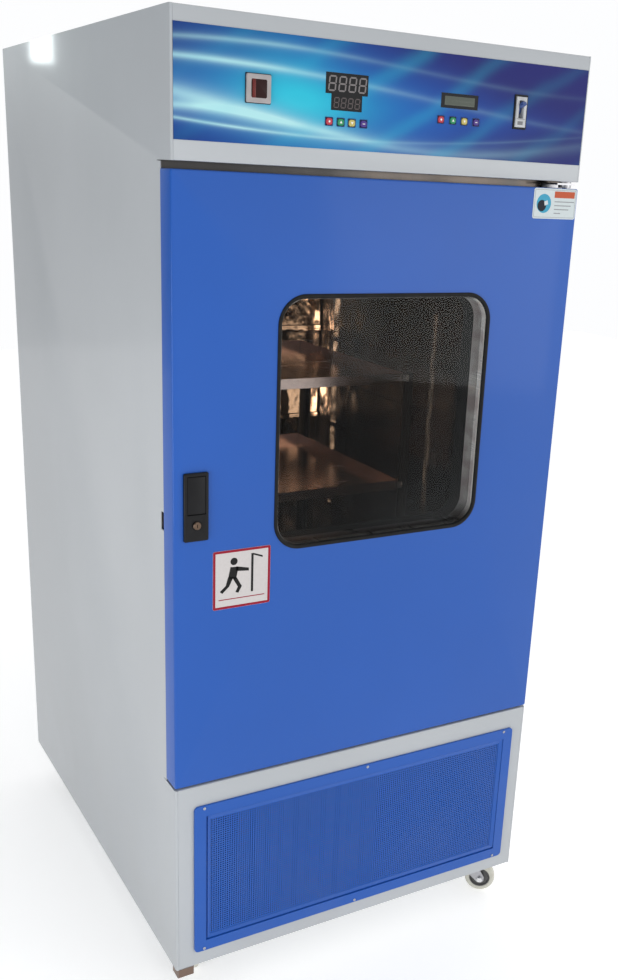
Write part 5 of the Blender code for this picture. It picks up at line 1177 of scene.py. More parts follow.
@dataclass
class VentGrille:
    """The blue perforated panel in the base and its stepped frame."""

    finishes: Finishes
    pitch: float = 0.0043
    hole: float = 0.0023
    plain_edge: float = 0.006
    sheet_skin: float = 0.0003
    screw: Screw = Screw(radius=0.0027, height=0.0013, recess_reach=0.0016, recess_waist=0.0006)
    screw_inset_x: float = 0.0180
    screw_inset_z: float = 0.0050
    right_screw_shift: float = 0.004
    low_screw_shift: float = -0.010
    high_screw_shift: float = 0.004
    back: float = -0.0003
    flange_face: float = -0.0042
    wide_gap: float = 0.0032
    tight_gap: float = 0.0005
    step_inset: float = 0.0212
    band_drop: float = 0.0010
    corner_radius: float = 0.008
    least_radius: float = 0.0012
    border: float = 0.030
    rim: float = 0.0005
    crease: float = 0.0003
    groove: float = 0.0001

    def lines(self, low: float, high: float) -> list[float]:
        """Finds the lines that bound the bars and the holes across one direction.

        Args:
            low: the sheet's lower or left edge.
            high: its upper or right edge.

        Returns:
            The lines in order, with the edges.
        """
        count = int((high - low - 2 * self.plain_edge) / self.pitch)
        start = (low + high - count * self.pitch) / 2
        lines = [low]
        for number in range(count):
            middle = start + (number + 0.5) * self.pitch
            lines += [middle - self.hole / 2, middle + self.hole / 2]
        return lines + [high]

    def build(self) -> None:
        """Makes the fine sheet and the frame, and adds the screws."""
        low, high = local("grille_mesh")
        across, up = self.lines(low.x, high.x), self.lines(low.z, high.z)
        sheet = Form().sheet_with_holes(across, up, high.y - self.sheet_skin, low.y + self.sheet_skin)
        mesh = sheet.make("perforated_sheet", "cabinet", self.finishes.blue, "door_blue")
        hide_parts("grille_mesh")
        self.frame()
        self.screws()

    def frame(self) -> None:
        """Makes the frame: a screwed flange and a sloping band, with a gap between, wide on the left and below."""
        low, high = local("grille_frame")
        back, flange, step, crease = self.back, self.flange_face, self.step_inset, self.crease
        band, groove = flange + self.band_drop, back - self.groove
        loops = []
        for inset, gap, along in (
            (0.0, 0, back),
            (0.0, 0, flange + self.rim),
            (self.rim, 0, flange),
            (step - crease, 0, flange),
            (step, 0, flange + crease),
            (step, 0, groove),
            (step, 1, groove),
            (step, 1, band + crease),
            (step + crease, 1, band),
            (self.border - self.rim, 0, back - 2 * crease),
            (self.border, 0, back),
        ):
            near, far = inset + gap * self.wide_gap, inset + gap * self.tight_gap
            corner = max(self.corner_radius - inset, self.least_radius)
            ring = rounded(low.x + near, low.z + near, high.x - far, high.z - far, corner, 6)
            loops.append([at(Axis.Y, u, v, along) for u, v in ring])
        made = Form().loft(loops, ring=True).make("stepped_frame", "cabinet", self.finishes.blue, "door_blue", 25)
        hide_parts("grille_frame")

    def screws(self) -> None:
        """Adds three pan heads along the bottom of the flange and three along its top."""
        low, high = local("grille_frame")
        left, right = low.x + self.screw_inset_x, high.x - self.screw_inset_x - self.right_screw_shift
        middle = (left + right) / 2
        places = []
        for height, shift in (
            (low.z + self.screw_inset_z, self.low_screw_shift),
            (high.z - self.screw_inset_z, self.high_screw_shift),
        ):
            places += [(left, height), (middle + shift, height), (right, height)]
        heads = self.screw.row(places, Axis.Y, self.flange_face, -1)
        heads.make("grille_screws", "cabinet", self.finishes.zinc, "zinc_steel")


@dataclass(frozen=True)
class DigitRow:
    """Seven-segment digits on a dark window, all segments alike."""

    left: float
    low: float
    digit_width: float
    digit_height: float
    pitch: float
    bar: float
    digits: int = 4
    slant: float = 0.10
    gap: float = 0.0003

    def segment(self, u0: float, v0: float, u1: float, v1: float) -> list[Pair]:
        """Draws one bar with pointed ends.

        Args:
            u0, v0: the point that it starts from.
            u1, v1: the point that it goes to.

        Returns:
            The bar's outline, leaning with the row.
        """
        along = Vector((u1 - u0, v1 - v0)).normalized()
        across = Vector((-along.y, along.x)) * self.bar / 2
        start = Vector((u0, v0)) + along * self.gap
        end = Vector((u1, v1)) - along * self.gap
        tip = along * self.bar / 2
        ring = (start, start + tip + across, end - tip + across, end, end - tip - across, start + tip - across)
        return [(point.x + self.slant * (point.y - self.low), point.y) for point in ring]

    def form(self, back: float, front: float) -> Form:
        """Shapes all the segments.

        Args:
            back: the depth of their back.
            front: the depth of their front.

        Returns:
            The segments as one form.
        """
        whole = Form()
        for digit in range(self.digits):
            left = self.left + digit * self.pitch
            right, low = left + self.digit_width, self.low
            middle, high = low + self.digit_height / 2, low + self.digit_height
            for u0, v0, u1, v1 in (
                (left, high, right, high),
                (left, middle, right, middle),
                (left, low, right, low),
                (left, low, left, middle),
                (left, middle, left, high),
                (right, low, right, middle),
                (right, middle, right, high),
            ):
                whole.prism(self.segment(u0, v0, u1, v1), Axis.Y, back, front)
        return whole


@dataclass
class ControlHead:
    """The printed panel above the door, with its meter, displays, keys and switch.

    The switch's window and rule are given from the middle of its nose and the nose's lower end.
    """

    finishes: Finishes
    face: float = -0.0009
    bite: float = 0.0001
    rim_radius: float = 0.0012
    rim_slope: float = 0.3
    least_radius: float = 0.0001
    upper_digits: DigitRow = DigitRow(0.2448, 1.4722, 0.0108, 0.0195, 0.0170, bar=0.0022)
    lower_digits: DigitRow = DigitRow(0.2545, 1.4492, 0.0074, 0.0135, 0.0118, bar=0.0015)
    digit_rise: float = 0.0002
    lens_insets: Edges = (0.0078, 0.0050, 0.0006, 0.0034)
    lens_radius: float = 0.0010
    lens_depths: Pair = (0.0010, 0.0001)
    glow_patch_left: float = 0.0010
    glow_patch_right: float = 0.0062
    glow_patch_inset: float = 0.0012
    glow_patch_radius: float = 0.0008
    glow_patch_depths: Pair = (0.0003, 0.00002)
    meter_rim: float = 0.0010
    meter_rim_lap: float = 0.0001
    meter_rim_rise: float = 0.0008
    lcd: Edges = (0.4505, 1.4668, 0.5075, 1.4800)
    lcd_radius: float = 0.0008
    lcd_rise: float = 0.0004
    lcd_cells: tuple[int, int] = (16, 2)
    lcd_margin: Pair = (0.0015, 0.001)
    cell_margin: Pair = (0.0003, 0.0005)
    cell_rises: Pair = (0.0003, 0.00045)
    key_marks: tuple[Shape, ...] = (Shape.DOT, Shape.UP, Shape.DOWN, Shape.BAR)
    mark_reach: float = 0.0021
    mark_rise: float = 0.0001
    key_seat: float = 0.0016
    key_gap: float = 0.0007
    key_seat_rise: float = 0.0006
    nose: Pair = (1.4430, 1.4890)
    nose_rim: float = 0.0032
    nose_gap: float = 0.0004
    nose_rim_rise: float = 0.0014
    switch_soft: float = 0.0004
    switch_window: Edges = (-0.0060, 0.0035, 0.0045, 0.0090)
    switch_rule: Edges = (-0.0085, 0.0120, 0.0085, 0.0128)

    def build(self) -> None:
        """Dresses the head's solids and adds its fine parts."""
        low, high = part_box("panel_overlay")
        print_finish = PrintedPanel("panel_print", low.x, low.z, high.x - low.x, high.z - low.z).paint()
        dress("panel_overlay", print_finish)
        self.meter()
        self.temperature_unit()
        self.speed_unit()
        self.keys()
        self.breaker()

    def plate(
        self, name: str, edges: Edges, radius: float, back: float, front: float, finish: Material, slot: str
    ) -> None:
        """Adds a thin plate with round corners.

        Args:
            name: the piece's name.
            edges: its edges, seen from the front.
            radius: its corner radius.
            back: the depth of its back.
            front: the depth of its front.
            finish: its material.
            slot: the slot name passed on to make.
        """

        def outline(inset: float) -> list[Pair]:
            """The plate's outline, drawn in by a distance."""
            return rounded(*drawn_in(edges, inset), max(radius - inset, self.least_radius), 4)

        Form().pillow(outline, Axis.Y, back, front).make(name, "cabinet", finish, slot)

    def rim(self, name: str, outer: Edges, inner: Edges, rise: float, finish: Material) -> None:
        """Adds a raised frame round an opening in the film, with softened edges.

        Args:
            name: the piece's name.
            outer: the frame's outer edges, seen from the front.
            inner: its inner edges.
            rise: how far it stands out from the film's face.
            finish: its material.
        """
        back, front = self.face - self.bite, self.face - rise
        soft = (back - front) * self.rim_slope
        loops = []
        for edges, inset, along in (
            (outer, 0, back),
            (outer, 0, front + soft),
            (outer, soft, front),
            (inner, 0, front),
            (inner, -soft, front + 2 * soft),
            (inner, -soft, back),
        ):
            ring = rounded(*drawn_in(edges, inset), self.rim_radius, 4)
            loops.append([at(Axis.Y, u, v, along) for u, v in ring])
        Form().loft(loops, ring=True).make(name, "cabinet", finish, "black_plastic")

    def meter(self) -> None:
        """Dresses the square meter and sets its dark red window, with a brighter red patch behind it that is a painted
        glow.
        """
        dress("voltmeter", Moulding("meter_case", (0.38, 0.35, 0.35), 0.35, shine=0.3).paint())
        lens = Moulding("meter_lens", (0.022, 0.004, 0.004), 0.3, shine=0.2).paint()
        # The brighter red patch behind the lens is a painted glow, with no light of its own.
        glow = Moulding("meter_painted_glow", (0.120, 0.012, 0.010), 0.2, shine=0.3).paint()
        case = front_edges("voltmeter")
        front = local("voltmeter")[0].y
        left, low = case[0] + self.lens_insets[0], case[1] + self.lens_insets[1]
        right, high = case[2] - self.lens_insets[2], case[3] - self.lens_insets[3]
        window = (left, low, right, high)
        back, face = (front + depth for depth in self.lens_depths)
        self.plate("meter_lens", window, self.lens_radius, back, face, lens, "white_plastic")
        scale = (left + self.glow_patch_left, low + self.glow_patch_inset, left + self.glow_patch_right, high - self.glow_patch_inset)
        back, face = (front + depth for depth in self.glow_patch_depths)
        self.plate("meter_painted_glow", scale, self.glow_patch_radius, back, face, glow, "white_plastic")
        outer, inner = drawn_in(case, -self.meter_rim), drawn_in(case, self.meter_rim_lap)
        self.rim("meter_outline", outer, inner, self.meter_rim_rise, self.finishes.black)

    def temperature_unit(self) -> None:
        """Dresses the temperature controller and draws its two rows of digits."""
        dress("temperature_controller", self.finishes.black)
        digits = Ink("unlit_segments", (0.20, 0.185, 0.185), 0.3).paint()
        dim = Ink("dim_segments", (0.105, 0.088, 0.088), 0.3).paint()
        depths = (self.face + self.bite, self.face - self.digit_rise)
        self.upper_digits.form(*depths).make("upper_digits", "cabinet", digits, "white_plastic")
        self.lower_digits.form(*depths).make("lower_digits", "cabinet", dim, "white_plastic")

    def speed_unit(self) -> None:
        """Dresses the speed controller and sets its character display."""
        dress("speed_controller", self.finishes.black)
        lcd = Moulding("lcd_glass", (0.098, 0.112, 0.092), 0.2, shine=0.3).paint()
        cell = Ink("lcd_cell", (0.088, 0.101, 0.083), 0.3).paint()
        back, front = self.face + self.bite, self.face - self.lcd_rise
        self.plate("lcd_window", self.lcd, self.lcd_radius, back, front, lcd, "black_plastic")
        left, low, right, high = self.lcd
        columns, rows = self.lcd_cells
        edge_u, edge_v = self.lcd_margin
        gap_u, gap_v = self.cell_margin
        pitch, rise = (right - left - 2 * edge_u) / columns, (high - low - 2 * edge_v) / rows
        back, front = (self.face - proud for proud in self.cell_rises)
        cells = Form()
        for row in range(rows):
            for column in range(columns):
                u, v = left + edge_u + column * pitch, low + edge_v + row * rise
                outline = box_outline(u + gap_u, v + gap_v, u + pitch - gap_u, v + rise - gap_v)
                cells.prism(outline, Axis.Y, back, front)
        cells.make("lcd_cells", "cabinet", cell, "black_plastic")

    def mark(self, shape: Shape, x: float, z: float) -> list[Pair]:
        """Draws a key's mark.

        Args:
            shape: which mark.
            x, z: its middle.

        Returns:
            The mark's outline.
        """
        reach = self.mark_reach
        if shape is Shape.DOT:
            return circle(x, z, reach * 0.75, 14)
        if shape is Shape.BAR:
            return box_outline(x - reach, z - reach / 4, x + reach, z + reach / 4)
        way = 1 if shape is Shape.UP else -1
        return [(x - reach, z - way * reach * 0.7), (x + reach, z - way * reach * 0.7), (x, z + way * reach)]

    def keys(self) -> None:
        """Gives each key cap its colour, a mark and a dark surround."""
        colours = {
            "red": (0.42, 0.030, 0.055),
            "green": (0.012, 0.22, 0.085),
            "yellow": (0.50, 0.42, 0.12),
            "navy": (0.055, 0.022, 0.20),
        }
        caps = {name: Moulding(f"{name}_cap", colour, 0.35, shine=0.35).paint() for name, colour in colours.items()}
        seat = Moulding("key_seat", (0.012, 0.035, 0.14), shine=0.3).paint()
        white = Ink("key_mark", (0.82, 0.82, 0.80)).paint()
        for unit in ("temperature", "speed"):
            for number, (name, shape) in enumerate(zip(colours, self.key_marks), 1):
                node, body = f"{unit}_key_{number}", f"{unit}_button_{number}"
                dress(node, caps[name])
                low, high = local(node)
                outline = self.mark(shape, (low.x + high.x) / 2, (low.z + high.z) / 2)
                mark = Form().prism(outline, Axis.Y, low.y + self.mark_rise, low.y - self.mark_rise)
                mark.make(f"{node}_mark", body, white, "white_plastic")
                cap = front_edges(node)
                outer, inner = drawn_in(cap, -self.key_seat), drawn_in(cap, -self.key_gap)
                self.rim(f"{node}_surround", outer, inner, self.key_seat_rise, seat)

    def breaker(self) -> None:
        """Dresses the switch and frames it in black."""
        case = Moulding("switch_case", (0.52, 0.53, 0.54), 0.35, shine=0.3).paint()
        toggle = Moulding("toggle_blue", (0.030, 0.070, 0.24), 0.3, coat=0.3).paint()
        grey = Moulding("switch_window", (0.20, 0.20, 0.21), 0.3, shine=0.3).paint()
        dress("breaker_body", case, self.switch_soft)
        dress("breaker_toggle", toggle, self.switch_soft)
        low, high = local("breaker_body")
        nose = (low.x, self.nose[0], high.x, self.nose[1])
        outer, inner = drawn_in(nose, -self.nose_rim), drawn_in(nose, -self.nose_gap)
        self.rim("breaker_frame", outer, inner, self.nose_rim_rise, self.finishes.black)
        middle = (low.x + high.x) / 2
        for name, edges, radius, rise in (
            ("switch_window", self.switch_window, 0.0006, 0.0003),
            ("switch_rule", self.switch_rule, 0.0003, 0.0002),
        ):
            placed = (middle + edges[0], nose[1] + edges[1], middle + edges[2], nose[1] + edges[3])
            self.plate(name, placed, radius, low.y + self.bite, low.y - rise, grey, "black_plastic")


@dataclass
class ViewingWindow:
    """The rubber-framed window in the door and the reveal behind it."""

    finishes: Finishes
    radius: float = 0.048
    corner_steps: int = 14
    face: float = -0.0003
    hole_lip: float = 0.0043
    seal_reach: float = 0.0066
    proud: float = 0.0020
    fit: float = 0.0003
    reveal_inset: float = 0.0073
    reveal_sheet: float = 0.0006
    reveal_back: float = 0.036
    spacer_sheet: float = 0.0012
    spacer_lap: float = 0.0006

    def ring(self, inset: float, along: float) -> Loop:
        """Draws a loop round the window.

        Args:
            inset: how far it is drawn in from the seal's outer edge.
            along: its depth.

        Returns:
            The loop.
        """
        outline = rounded(*drawn_in(front_edges("window_seal"), inset), self.radius - inset, self.corner_steps)
        return [at(Axis.Y, u, v, along) for u, v in outline]

    def build(self) -> None:
        """Makes the round-cornered seal and the bands behind it, and dresses the glass."""
        dress("window_glass", self.finishes.glass)
        glass_front, glass_back = (corner.y for corner in local("window_glass"))
        self.seal(glass_front - self.fit)
        low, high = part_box("window_seal")
        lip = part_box("window_glass")[0].y + self.spacer_lap
        satin = SatinAluminium("satin_reveal", low.z, high.z, lip).paint()
        start, end = glass_front + self.spacer_lap, glass_back - self.spacer_lap
        self.sleeve("glass_spacer", self.seal_reach, self.spacer_sheet, start, end, satin)
        reveal = (self.reveal_inset, self.reveal_sheet)
        self.sleeve("window_reveal", *reveal, glass_back + self.fit, self.reveal_back, satin)
        self.sleeve("inner_trim", *reveal, self.reveal_back, local("door_liner")[1].y, self.finishes.rubber)

    def sleeve(self, name: str, inset: float, sheet: float, start: float, end: float, finish: Material) -> None:
        """Adds a band of sheet round the inside of the window.

        Args:
            name: the piece's name.
            inset: how far its outside lies within the seal's outer edge.
            sheet: its thickness.
            start: the depth of its front edge.
            end: the depth of its back edge.
            finish: its material.
        """
        loops = [self.ring(inset, start), self.ring(inset, end)]
        loops += [self.ring(inset + sheet, end), self.ring(inset + sheet, start)]
        slot = "black_rubber" if finish is self.finishes.rubber else "stainless"
        Form().loft(loops, ring=True).make(name, "door", finish, slot)

    def seal(self, back: float) -> None:
        """Makes the black rubber profile.

        Args:
            back: the depth of its back, behind the bead in front.
        """
        face, proud, reach = self.face, self.proud, self.seal_reach
        profile = (
            (0.0, face),
            (0.0002, face - proud * 0.55),
            (0.0010, face - proud * 0.92),
            (0.0026, face - proud),
            (reach - 0.0022, face - proud * 0.95),
            (reach - 0.0008, face - proud * 0.55),
            (reach, face + 0.0004),
            (reach, back),
            (self.hole_lip, back),
            (self.hole_lip, face),
        )
        seal = Form().loft([self.ring(inset, along) for inset, along in profile], ring=True)
        made = seal.make("window_gasket", "door", self.finishes.rubber, "black_rubber", 50)
        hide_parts("window_seal")


@dataclass
class Handle:
    """The black recessed handle with its flap and lock."""

    finishes: Finishes
    soft: float = 0.0005
    lock_height: float = 0.828
    collar_radius: float = 0.0064
    collar_bore: float = 0.0030

    def build(self) -> None:
        """Dresses the handle's solids and adds the lock's bright collar."""
        dress("handle_housing", self.finishes.black, self.soft)
        dress("handle_paddle", self.finishes.black, self.soft)
        dress("lock_barrel", self.finishes.bronze)
        plate = PlatedSteel("lock_plate", (0.20, 0.165, 0.16), 0.34).paint()
        low, high = local("lock_barrel")
        centre = ((low.x + high.x) / 2, self.lock_height)
        profile = (
            (self.collar_bore, low.y + 0.0016),
            (self.collar_radius, low.y + 0.0028),
            (self.collar_radius, low.y + 0.0010),
            (self.collar_radius - 0.0008, low.y + 0.0001),
            (self.collar_bore + 0.0012, low.y + 0.0001),
            (self.collar_bore, low.y + 0.0006),
        )
        Form().turned(profile, Axis.Y, centre, 32).make("lock_collar", "lock", plate, "bright_chrome")


@dataclass
class Door:
    """The insulated door with its sign and label, whose prints lie in layers on thin sheets.

    The sign's figure is given in shares of the sign, and the label's picture from the picture's middle.
    """

    finishes: Finishes
    sheet: float = 0.0004
    ink: float = 0.0001
    ink_gap: float = 0.00002
    face: float = -0.0001
    least_radius: float = 0.0003
    sign: Edges = (0.066, 0.679, 0.167, 0.779)
    sign_radius: float = 0.003
    sign_frame: Pair = (0.0002, 0.0041)
    sign_rule: Edges = (0.10, 0.17, 0.90, 0.155)
    figure_head: Point = (0.36, 0.80, 0.062)
    label: Edges = (0.644, 1.3015, 0.737, 1.351)
    label_radius: float = 0.004
    label_border: Pair = (0.0022, 0.0006)
    label_bar: Edges = (0.0445, 0.0150, 0.0045, 0.0045)
    disc_place: float = 0.0225
    disc_radius: float = 0.0155
    round_spot: Point = (-0.0042, -0.0036, 0.0092)
    page: tuple[Pair, ...] = ((0.0020, -0.0035), (0.0092, -0.0010), (0.0072, 0.0055), (0.0002, 0.0030))
    line_shares: tuple[float, ...] = (1.0, 0.85, 0.75, 0.35)
    line_inset: float = 0.001
    line_start: float = 0.0205
    line_pitch: float = 0.0063
    line_height: float = 0.0016

    @property
    def layers(self) -> tuple[float, float, float, float]:
        """The depths between the layers of ink, outward from a sheet."""
        back = self.face - self.sheet - self.ink_gap
        return (back, back - self.ink, back - 2 * self.ink, back - 3 * self.ink)

    def build(self) -> None:
        """Dresses the door and adds what is stuck on it."""
        dress("door_skin", self.finishes.blue)
        dress("door_liner", self.finishes.lining)
        dress("door_gasket", self.finishes.rubber)
        ViewingWindow(self.finishes).build()
        Handle(self.finishes).build()
        self.door_sign()
        self.notice_label()

    def sticker(self, name: str, edges: Edges, radius: float, finish: Material) -> None:
        """Adds a thin flat sheet on the door.

        Args:
            name: the piece's name.
            edges: its edges, seen from the front.
            radius: its corner radius.
            finish: its material.
        """
        outline = rounded(*edges, radius, 5)
        sheet = Form().prism(outline, Axis.Y, self.face, self.face - self.sheet)
        sheet.make(name, "door", finish, "white_plastic")

    def ring(self, name: str, edges: Edges, radius: float, band: Pair, finish: Material) -> None:
        """Adds a thin printed ring on a sheet.

        Args:
            name: the piece's name.
            edges: the sheet's edges.
            radius: the sheet's corner radius.
            band: how far the ring is drawn in from them, and its width.
            finish: the ring's material.
        """
        back, front = self.layers[:2]
        inset, width = band
        loops = []
        for draw, along in ((inset, back), (inset, front), (inset + width, front), (inset + width, back)):
            outline = rounded(*drawn_in(edges, draw), max(radius - draw, self.least_radius), 5)
            loops.append([at(Axis.Y, u, v, along) for u, v in outline])
        Form().loft(loops, ring=True).make(name, "door", finish, "key_red")

    def door_sign(self) -> None:
        """Adds the square sign: a red frame, and a figure that pushes a door shut."""
        white = Ink("sign_white", (0.57, 0.54, 0.53)).paint()
        red = Ink("sign_red", (0.28, 0.010, 0.028)).paint()
        black = Ink("sign_black", (0.012, 0.012, 0.012)).paint()
        self.sticker("sign_plate", self.sign, self.sign_radius, white)
        self.ring("sign_frame", self.sign, self.sign_radius, self.sign_frame, red)
        left, low, right, high = self.sign
        wide, tall = right - left, high - low
        depths = self.layers[:2]

        def spot(u: float, v: float) -> Pair:
            """A place on the sign from its share across and up."""
            return (left + wide * u, low + tall * v)

        parts = {
            "trunk": ((0.30, 0.71), (0.44, 0.70), (0.40, 0.50), (0.26, 0.52)),
            "arm": ((0.40, 0.71), (0.62, 0.66), (0.62, 0.61), (0.40, 0.63)),
            "front leg": ((0.33, 0.53), (0.41, 0.52), (0.50, 0.36), (0.44, 0.25), (0.39, 0.27), (0.43, 0.36)),
            "rear leg": ((0.26, 0.54), (0.35, 0.53), (0.28, 0.38), (0.16, 0.27), (0.12, 0.31), (0.22, 0.40)),
            "door edge": ((0.66, 0.90), (0.70, 0.90), (0.70, 0.24), (0.66, 0.24)),
            "door top": ((0.70, 0.90), (0.86, 0.84), (0.86, 0.81), (0.70, 0.87)),
        }
        head_u, head_v, head_size = self.figure_head
        figure = Form().prism(circle(*spot(head_u, head_v), wide * head_size, 20), Axis.Y, *depths)
        for corners in parts.values():
            figure.prism([spot(u, v) for u, v in corners], Axis.Y, *depths)
        figure.make("sign_figure", "door", black, "black_plastic")
        rule = [spot(u, v) for u, v in box_outline(*self.sign_rule)]
        Form().prism(rule, Axis.Y, *depths).make("sign_rule", "door", red, "key_red")

    def notice_label(self) -> None:
        """Adds the pale label near the top right corner: a round picture, a coloured bar and four blank lines."""
        white = Ink("label_white", (0.60, 0.66, 0.67)).paint()
        grey = Ink("label_line", (0.30, 0.31, 0.33)).paint()
        amber = Ink("label_amber", (0.50, 0.10, 0.045)).paint()
        self.sticker("label_plate", self.label, self.label_radius, white)
        self.ring("label_border", self.label, self.label_radius, self.label_border, grey)
        self.label_picture(white)
        left, _, right, high = self.label
        start, stop = left + self.label_bar[0], right - self.label_bar[2]
        depths = self.layers[:2]
        bar = box_outline(start, high - self.label_bar[1], stop, high - self.label_bar[3])
        Form().prism(bar, Axis.Y, *depths).make("label_bar", "door", amber, "key_red")
        lines = Form()
        for line, share in enumerate(self.line_shares):
            top = high - self.line_start - self.line_pitch * line
            end = start + (stop - start) * share
            lines.prism(box_outline(start + self.line_inset, top - self.line_height, end, top), Axis.Y, *depths)
        lines.make("label_lines", "door", grey, "black_plastic")

    def label_picture(self, white: Material) -> None:
        """Prints the label's round picture: a dark round and a white page on teal, in layers of ink.

        Args:
            white: the page's finish.
        """
        teal = Ink("label_teal", (0.06, 0.34, 0.50)).paint()
        dark = Ink("label_dark", (0.014, 0.018, 0.026)).paint()
        left, low, _, high = self.label
        x, z = left + self.disc_place, (low + high) / 2
        sheet, first, second, third = self.layers
        disc = Form().prism(circle(x, z, self.disc_radius, 40), Axis.Y, sheet, first)
        disc.make("label_disc", "door", teal, "door_blue")
        spot_u, spot_v, spot_radius = self.round_spot
        hill = Form().prism(circle(x + spot_u, z + spot_v, spot_radius, 32), Axis.Y, first, second)
        hill.make("label_hill", "door", dark, "black_plastic")
        page = Form().prism([(x + u, z + v) for u, v in self.page], Axis.Y, first, third)
        page.make("label_page", "door", white, "white_plastic")


@dataclass
class Chamber:
    """The stainless working space with its air duct and cooling unit."""

    finishes: Finishes
    screw: Screw = Screw(radius=0.0042)
    screw_inset: float = 0.014
    screw_heights: Pair = (0.70, 1.10)
    rib_rise: float = 0.0050

    def build(self) -> None:
        """Dresses the chamber and screws its duct panel down."""
        dress("chamber_liner", self.finishes.chamber)
        dress("air_baffle", self.finishes.duct)
        dress("cooling_unit", self.finishes.coil)
        dress("circulation_fan", self.finishes.zinc)
        low, high = local("air_baffle")
        places = []
        for z in (low.z + self.screw_inset, *self.screw_heights, high.z - self.screw_inset):
            places += [(low.x + self.screw_inset, z), (high.x - self.screw_inset, z)]
        heads = self.screw.row(places, Axis.Y, low.y + self.rib_rise, -1)
        heads.make("duct_screws", "cabinet", self.finishes.bright, "stainless")


@dataclass
class Rack:
    """The orbiting platform, its trays and the clips that hold them to the posts."""

    finishes: Finishes
    screw: Screw = Screw(radius=0.0028, height=0.0012, recess_reach=0.0016, recess_waist=0.0006)
    post_width: float = 0.0195
    clip_on_post: float = 0.0085
    clip_on_tray: float = 0.0095
    clip_height: float = 0.0130
    clip_radius: float = 0.0015
    clip_sheet: float = 0.0012

    def build(self) -> None:
        """Dresses the platform and trays and adds the clips."""
        dress("shaker_platform", self.finishes.frame_steel)
        for node in ("lower_tray", "upper_tray"):
            dress(node, self.finishes.rack)
            self.clips(node)

    def clips(self, tray: str) -> None:
        """Adds the four small plates, each with a screw, that join a tray to the posts.

        Args:
            tray: the tray's solid.
        """
        low, high = local("shaker_platform")
        tray_low, tray_high = local(tray)
        z = (tray_low.z + tray_high.z) / 2
        clips = Form()
        for seat, outward in ((low.y, -1), (high.y, 1)):
            face = seat + outward * self.clip_sheet
            places = []
            for edge, inward in ((low.x + self.post_width, 1), (high.x - self.post_width, -1)):
                on_post, on_tray = edge - inward * self.clip_on_post, edge + inward * self.clip_on_tray
                left, right = sorted((on_post, on_tray))
                half = self.clip_height / 2
                clips.prism(rounded(left, z - half, right, z + half, self.clip_radius, 3), Axis.Y, seat, face)
                places.append(((on_post + edge) / 2, z))
            clips.join(self.screw.row(places, Axis.Y, face, outward))
        clips.make(f"{tray}_clips", "rack", self.finishes.bright, "stainless")


@dataclass
class Machinery:
    """The drive under the chamber and the cooling machinery in the base."""

    finishes: Finishes

    def build(self) -> None:
        """Dresses the machinery."""
        for node in ("compressor", "drive_motor", "drive_crank", "left_idler_crank", "right_idler_crank"):
            dress(node, self.finishes.casting)
        for node in ("motor_pulley", "condenser_fan"):
            dress(node, self.finishes.zinc)
        dress("condenser", self.finishes.coil)
        dress("drive_belt", self.finishes.rubber)


@dataclass
class Castors:
    """Four swivel castors with grey tyres and dark hubs."""

    finishes: Finishes
    corners: tuple[str, ...] = ("front_left", "front_right", "rear_left", "rear_right")
    radius: float = 0.0315
    width: float = 0.022
    hub_radius: float = 0.0215
    boss_radius: float = 0.0085
    bore: float = 0.0046
    steps: int = 48
    fork_side: float = 0.0180
    fork_soft: float = 0.0006
    nut_radius: float = 0.0062
    nut_height: float = 0.0030
    nut_chamfer: float = 0.0006

    def tyre_profile(self) -> list[Pair]:
        """Draws the tyre's section: rounded tread, flat sides, seat for the hub.

        Returns:
            Its points, as radii and places along the axle.
        """
        half = self.width / 2
        side = [
            (self.hub_radius, half - 0.0012),
            (self.hub_radius + 0.0012, half),
            (self.radius - 0.0040, half - 0.0002),
            (self.radius - 0.0014, half - 0.0020),
            (self.radius - 0.0002, half - 0.0050),
            (self.radius, half - 0.0090),
        ]
        return side + [(radius, -along) for radius, along in reversed(side)]

    def hub_profile(self) -> list[Pair]:
        """Draws the hub's section, from its bore out to the tyre.

        Returns:
            Its points, as radii and places along the axle.
        """
        half = self.width / 2
        side = [
            (self.bore, half - 0.0004),
            (self.boss_radius, half - 0.0004),
            (self.boss_radius + 0.0015, half - 0.0036),
            (self.hub_radius - 0.0035, half - 0.0040),
            (self.hub_radius - 0.0015, half - 0.0008),
            (self.hub_radius, half - 0.0008),
        ]
        return side + [(radius, -along) for radius, along in reversed(side)]

    def build(self) -> None:
        """Makes each wheel in two parts on its axle and dresses its fork."""
        hub_black = Moulding("hub_moulding", (0.085, 0.083, 0.083), 0.32).paint()
        joints = {joint["name"]: joint for joint in frame["joints"]}
        for corner in self.corners:
            roll = joints[f"{corner}_roll"]
            axle = Vector(roll["axis"]).normalized()
            turn = Vector((0, 1, 0)).rotation_difference(axle).to_matrix().to_4x4()
            place = Matrix.Translation(Vector(roll["pos_m"]) - CABINET) @ turn
            tyre = Form().turned(self.tyre_profile(), Axis.Y, (0, 0), self.steps).moved(place)
            made = tyre.make(f"{corner}_tyre", f"{corner}_wheel", self.finishes.tyre, "grey_tyre")
            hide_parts(f"{corner}_castor_wheel")
            hub = Form().turned(self.hub_profile(), Axis.Y, (0, 0), self.steps).moved(place)
            hub.make(f"{corner}_hub", f"{corner}_wheel", hub_black, "black_plastic")
            dress(f"{corner}_castor_fork", self.finishes.zinc, self.fork_soft)
            self.nuts(corner, place)

    def nuts(self, corner: str, place: Matrix) -> None:
        """Adds the hexagon nut and bolt head on the fork's two sides.

        Args:
            corner: the castor's corner.
            place: the axle's place and direction.
        """
        whole = Form()
        for way in (-1, 1):
            seat, top = way * self.fork_side, way * (self.fork_side + self.nut_height)
            loops = []
            for scale, along in ((1.0, seat), (1.0, top - way * self.nut_chamfer), (0.86, top), (0.42, top)):
                loops.append([at(Axis.Y, u, v, along) for u, v in circle(0, 0, self.nut_radius * scale, 6)])
            whole.loft(loops)
        whole.moved(place).make(f"{corner}_axle_nuts", f"{corner}_fork", self.finishes.bright, "zinc_steel", 20)


# Studio


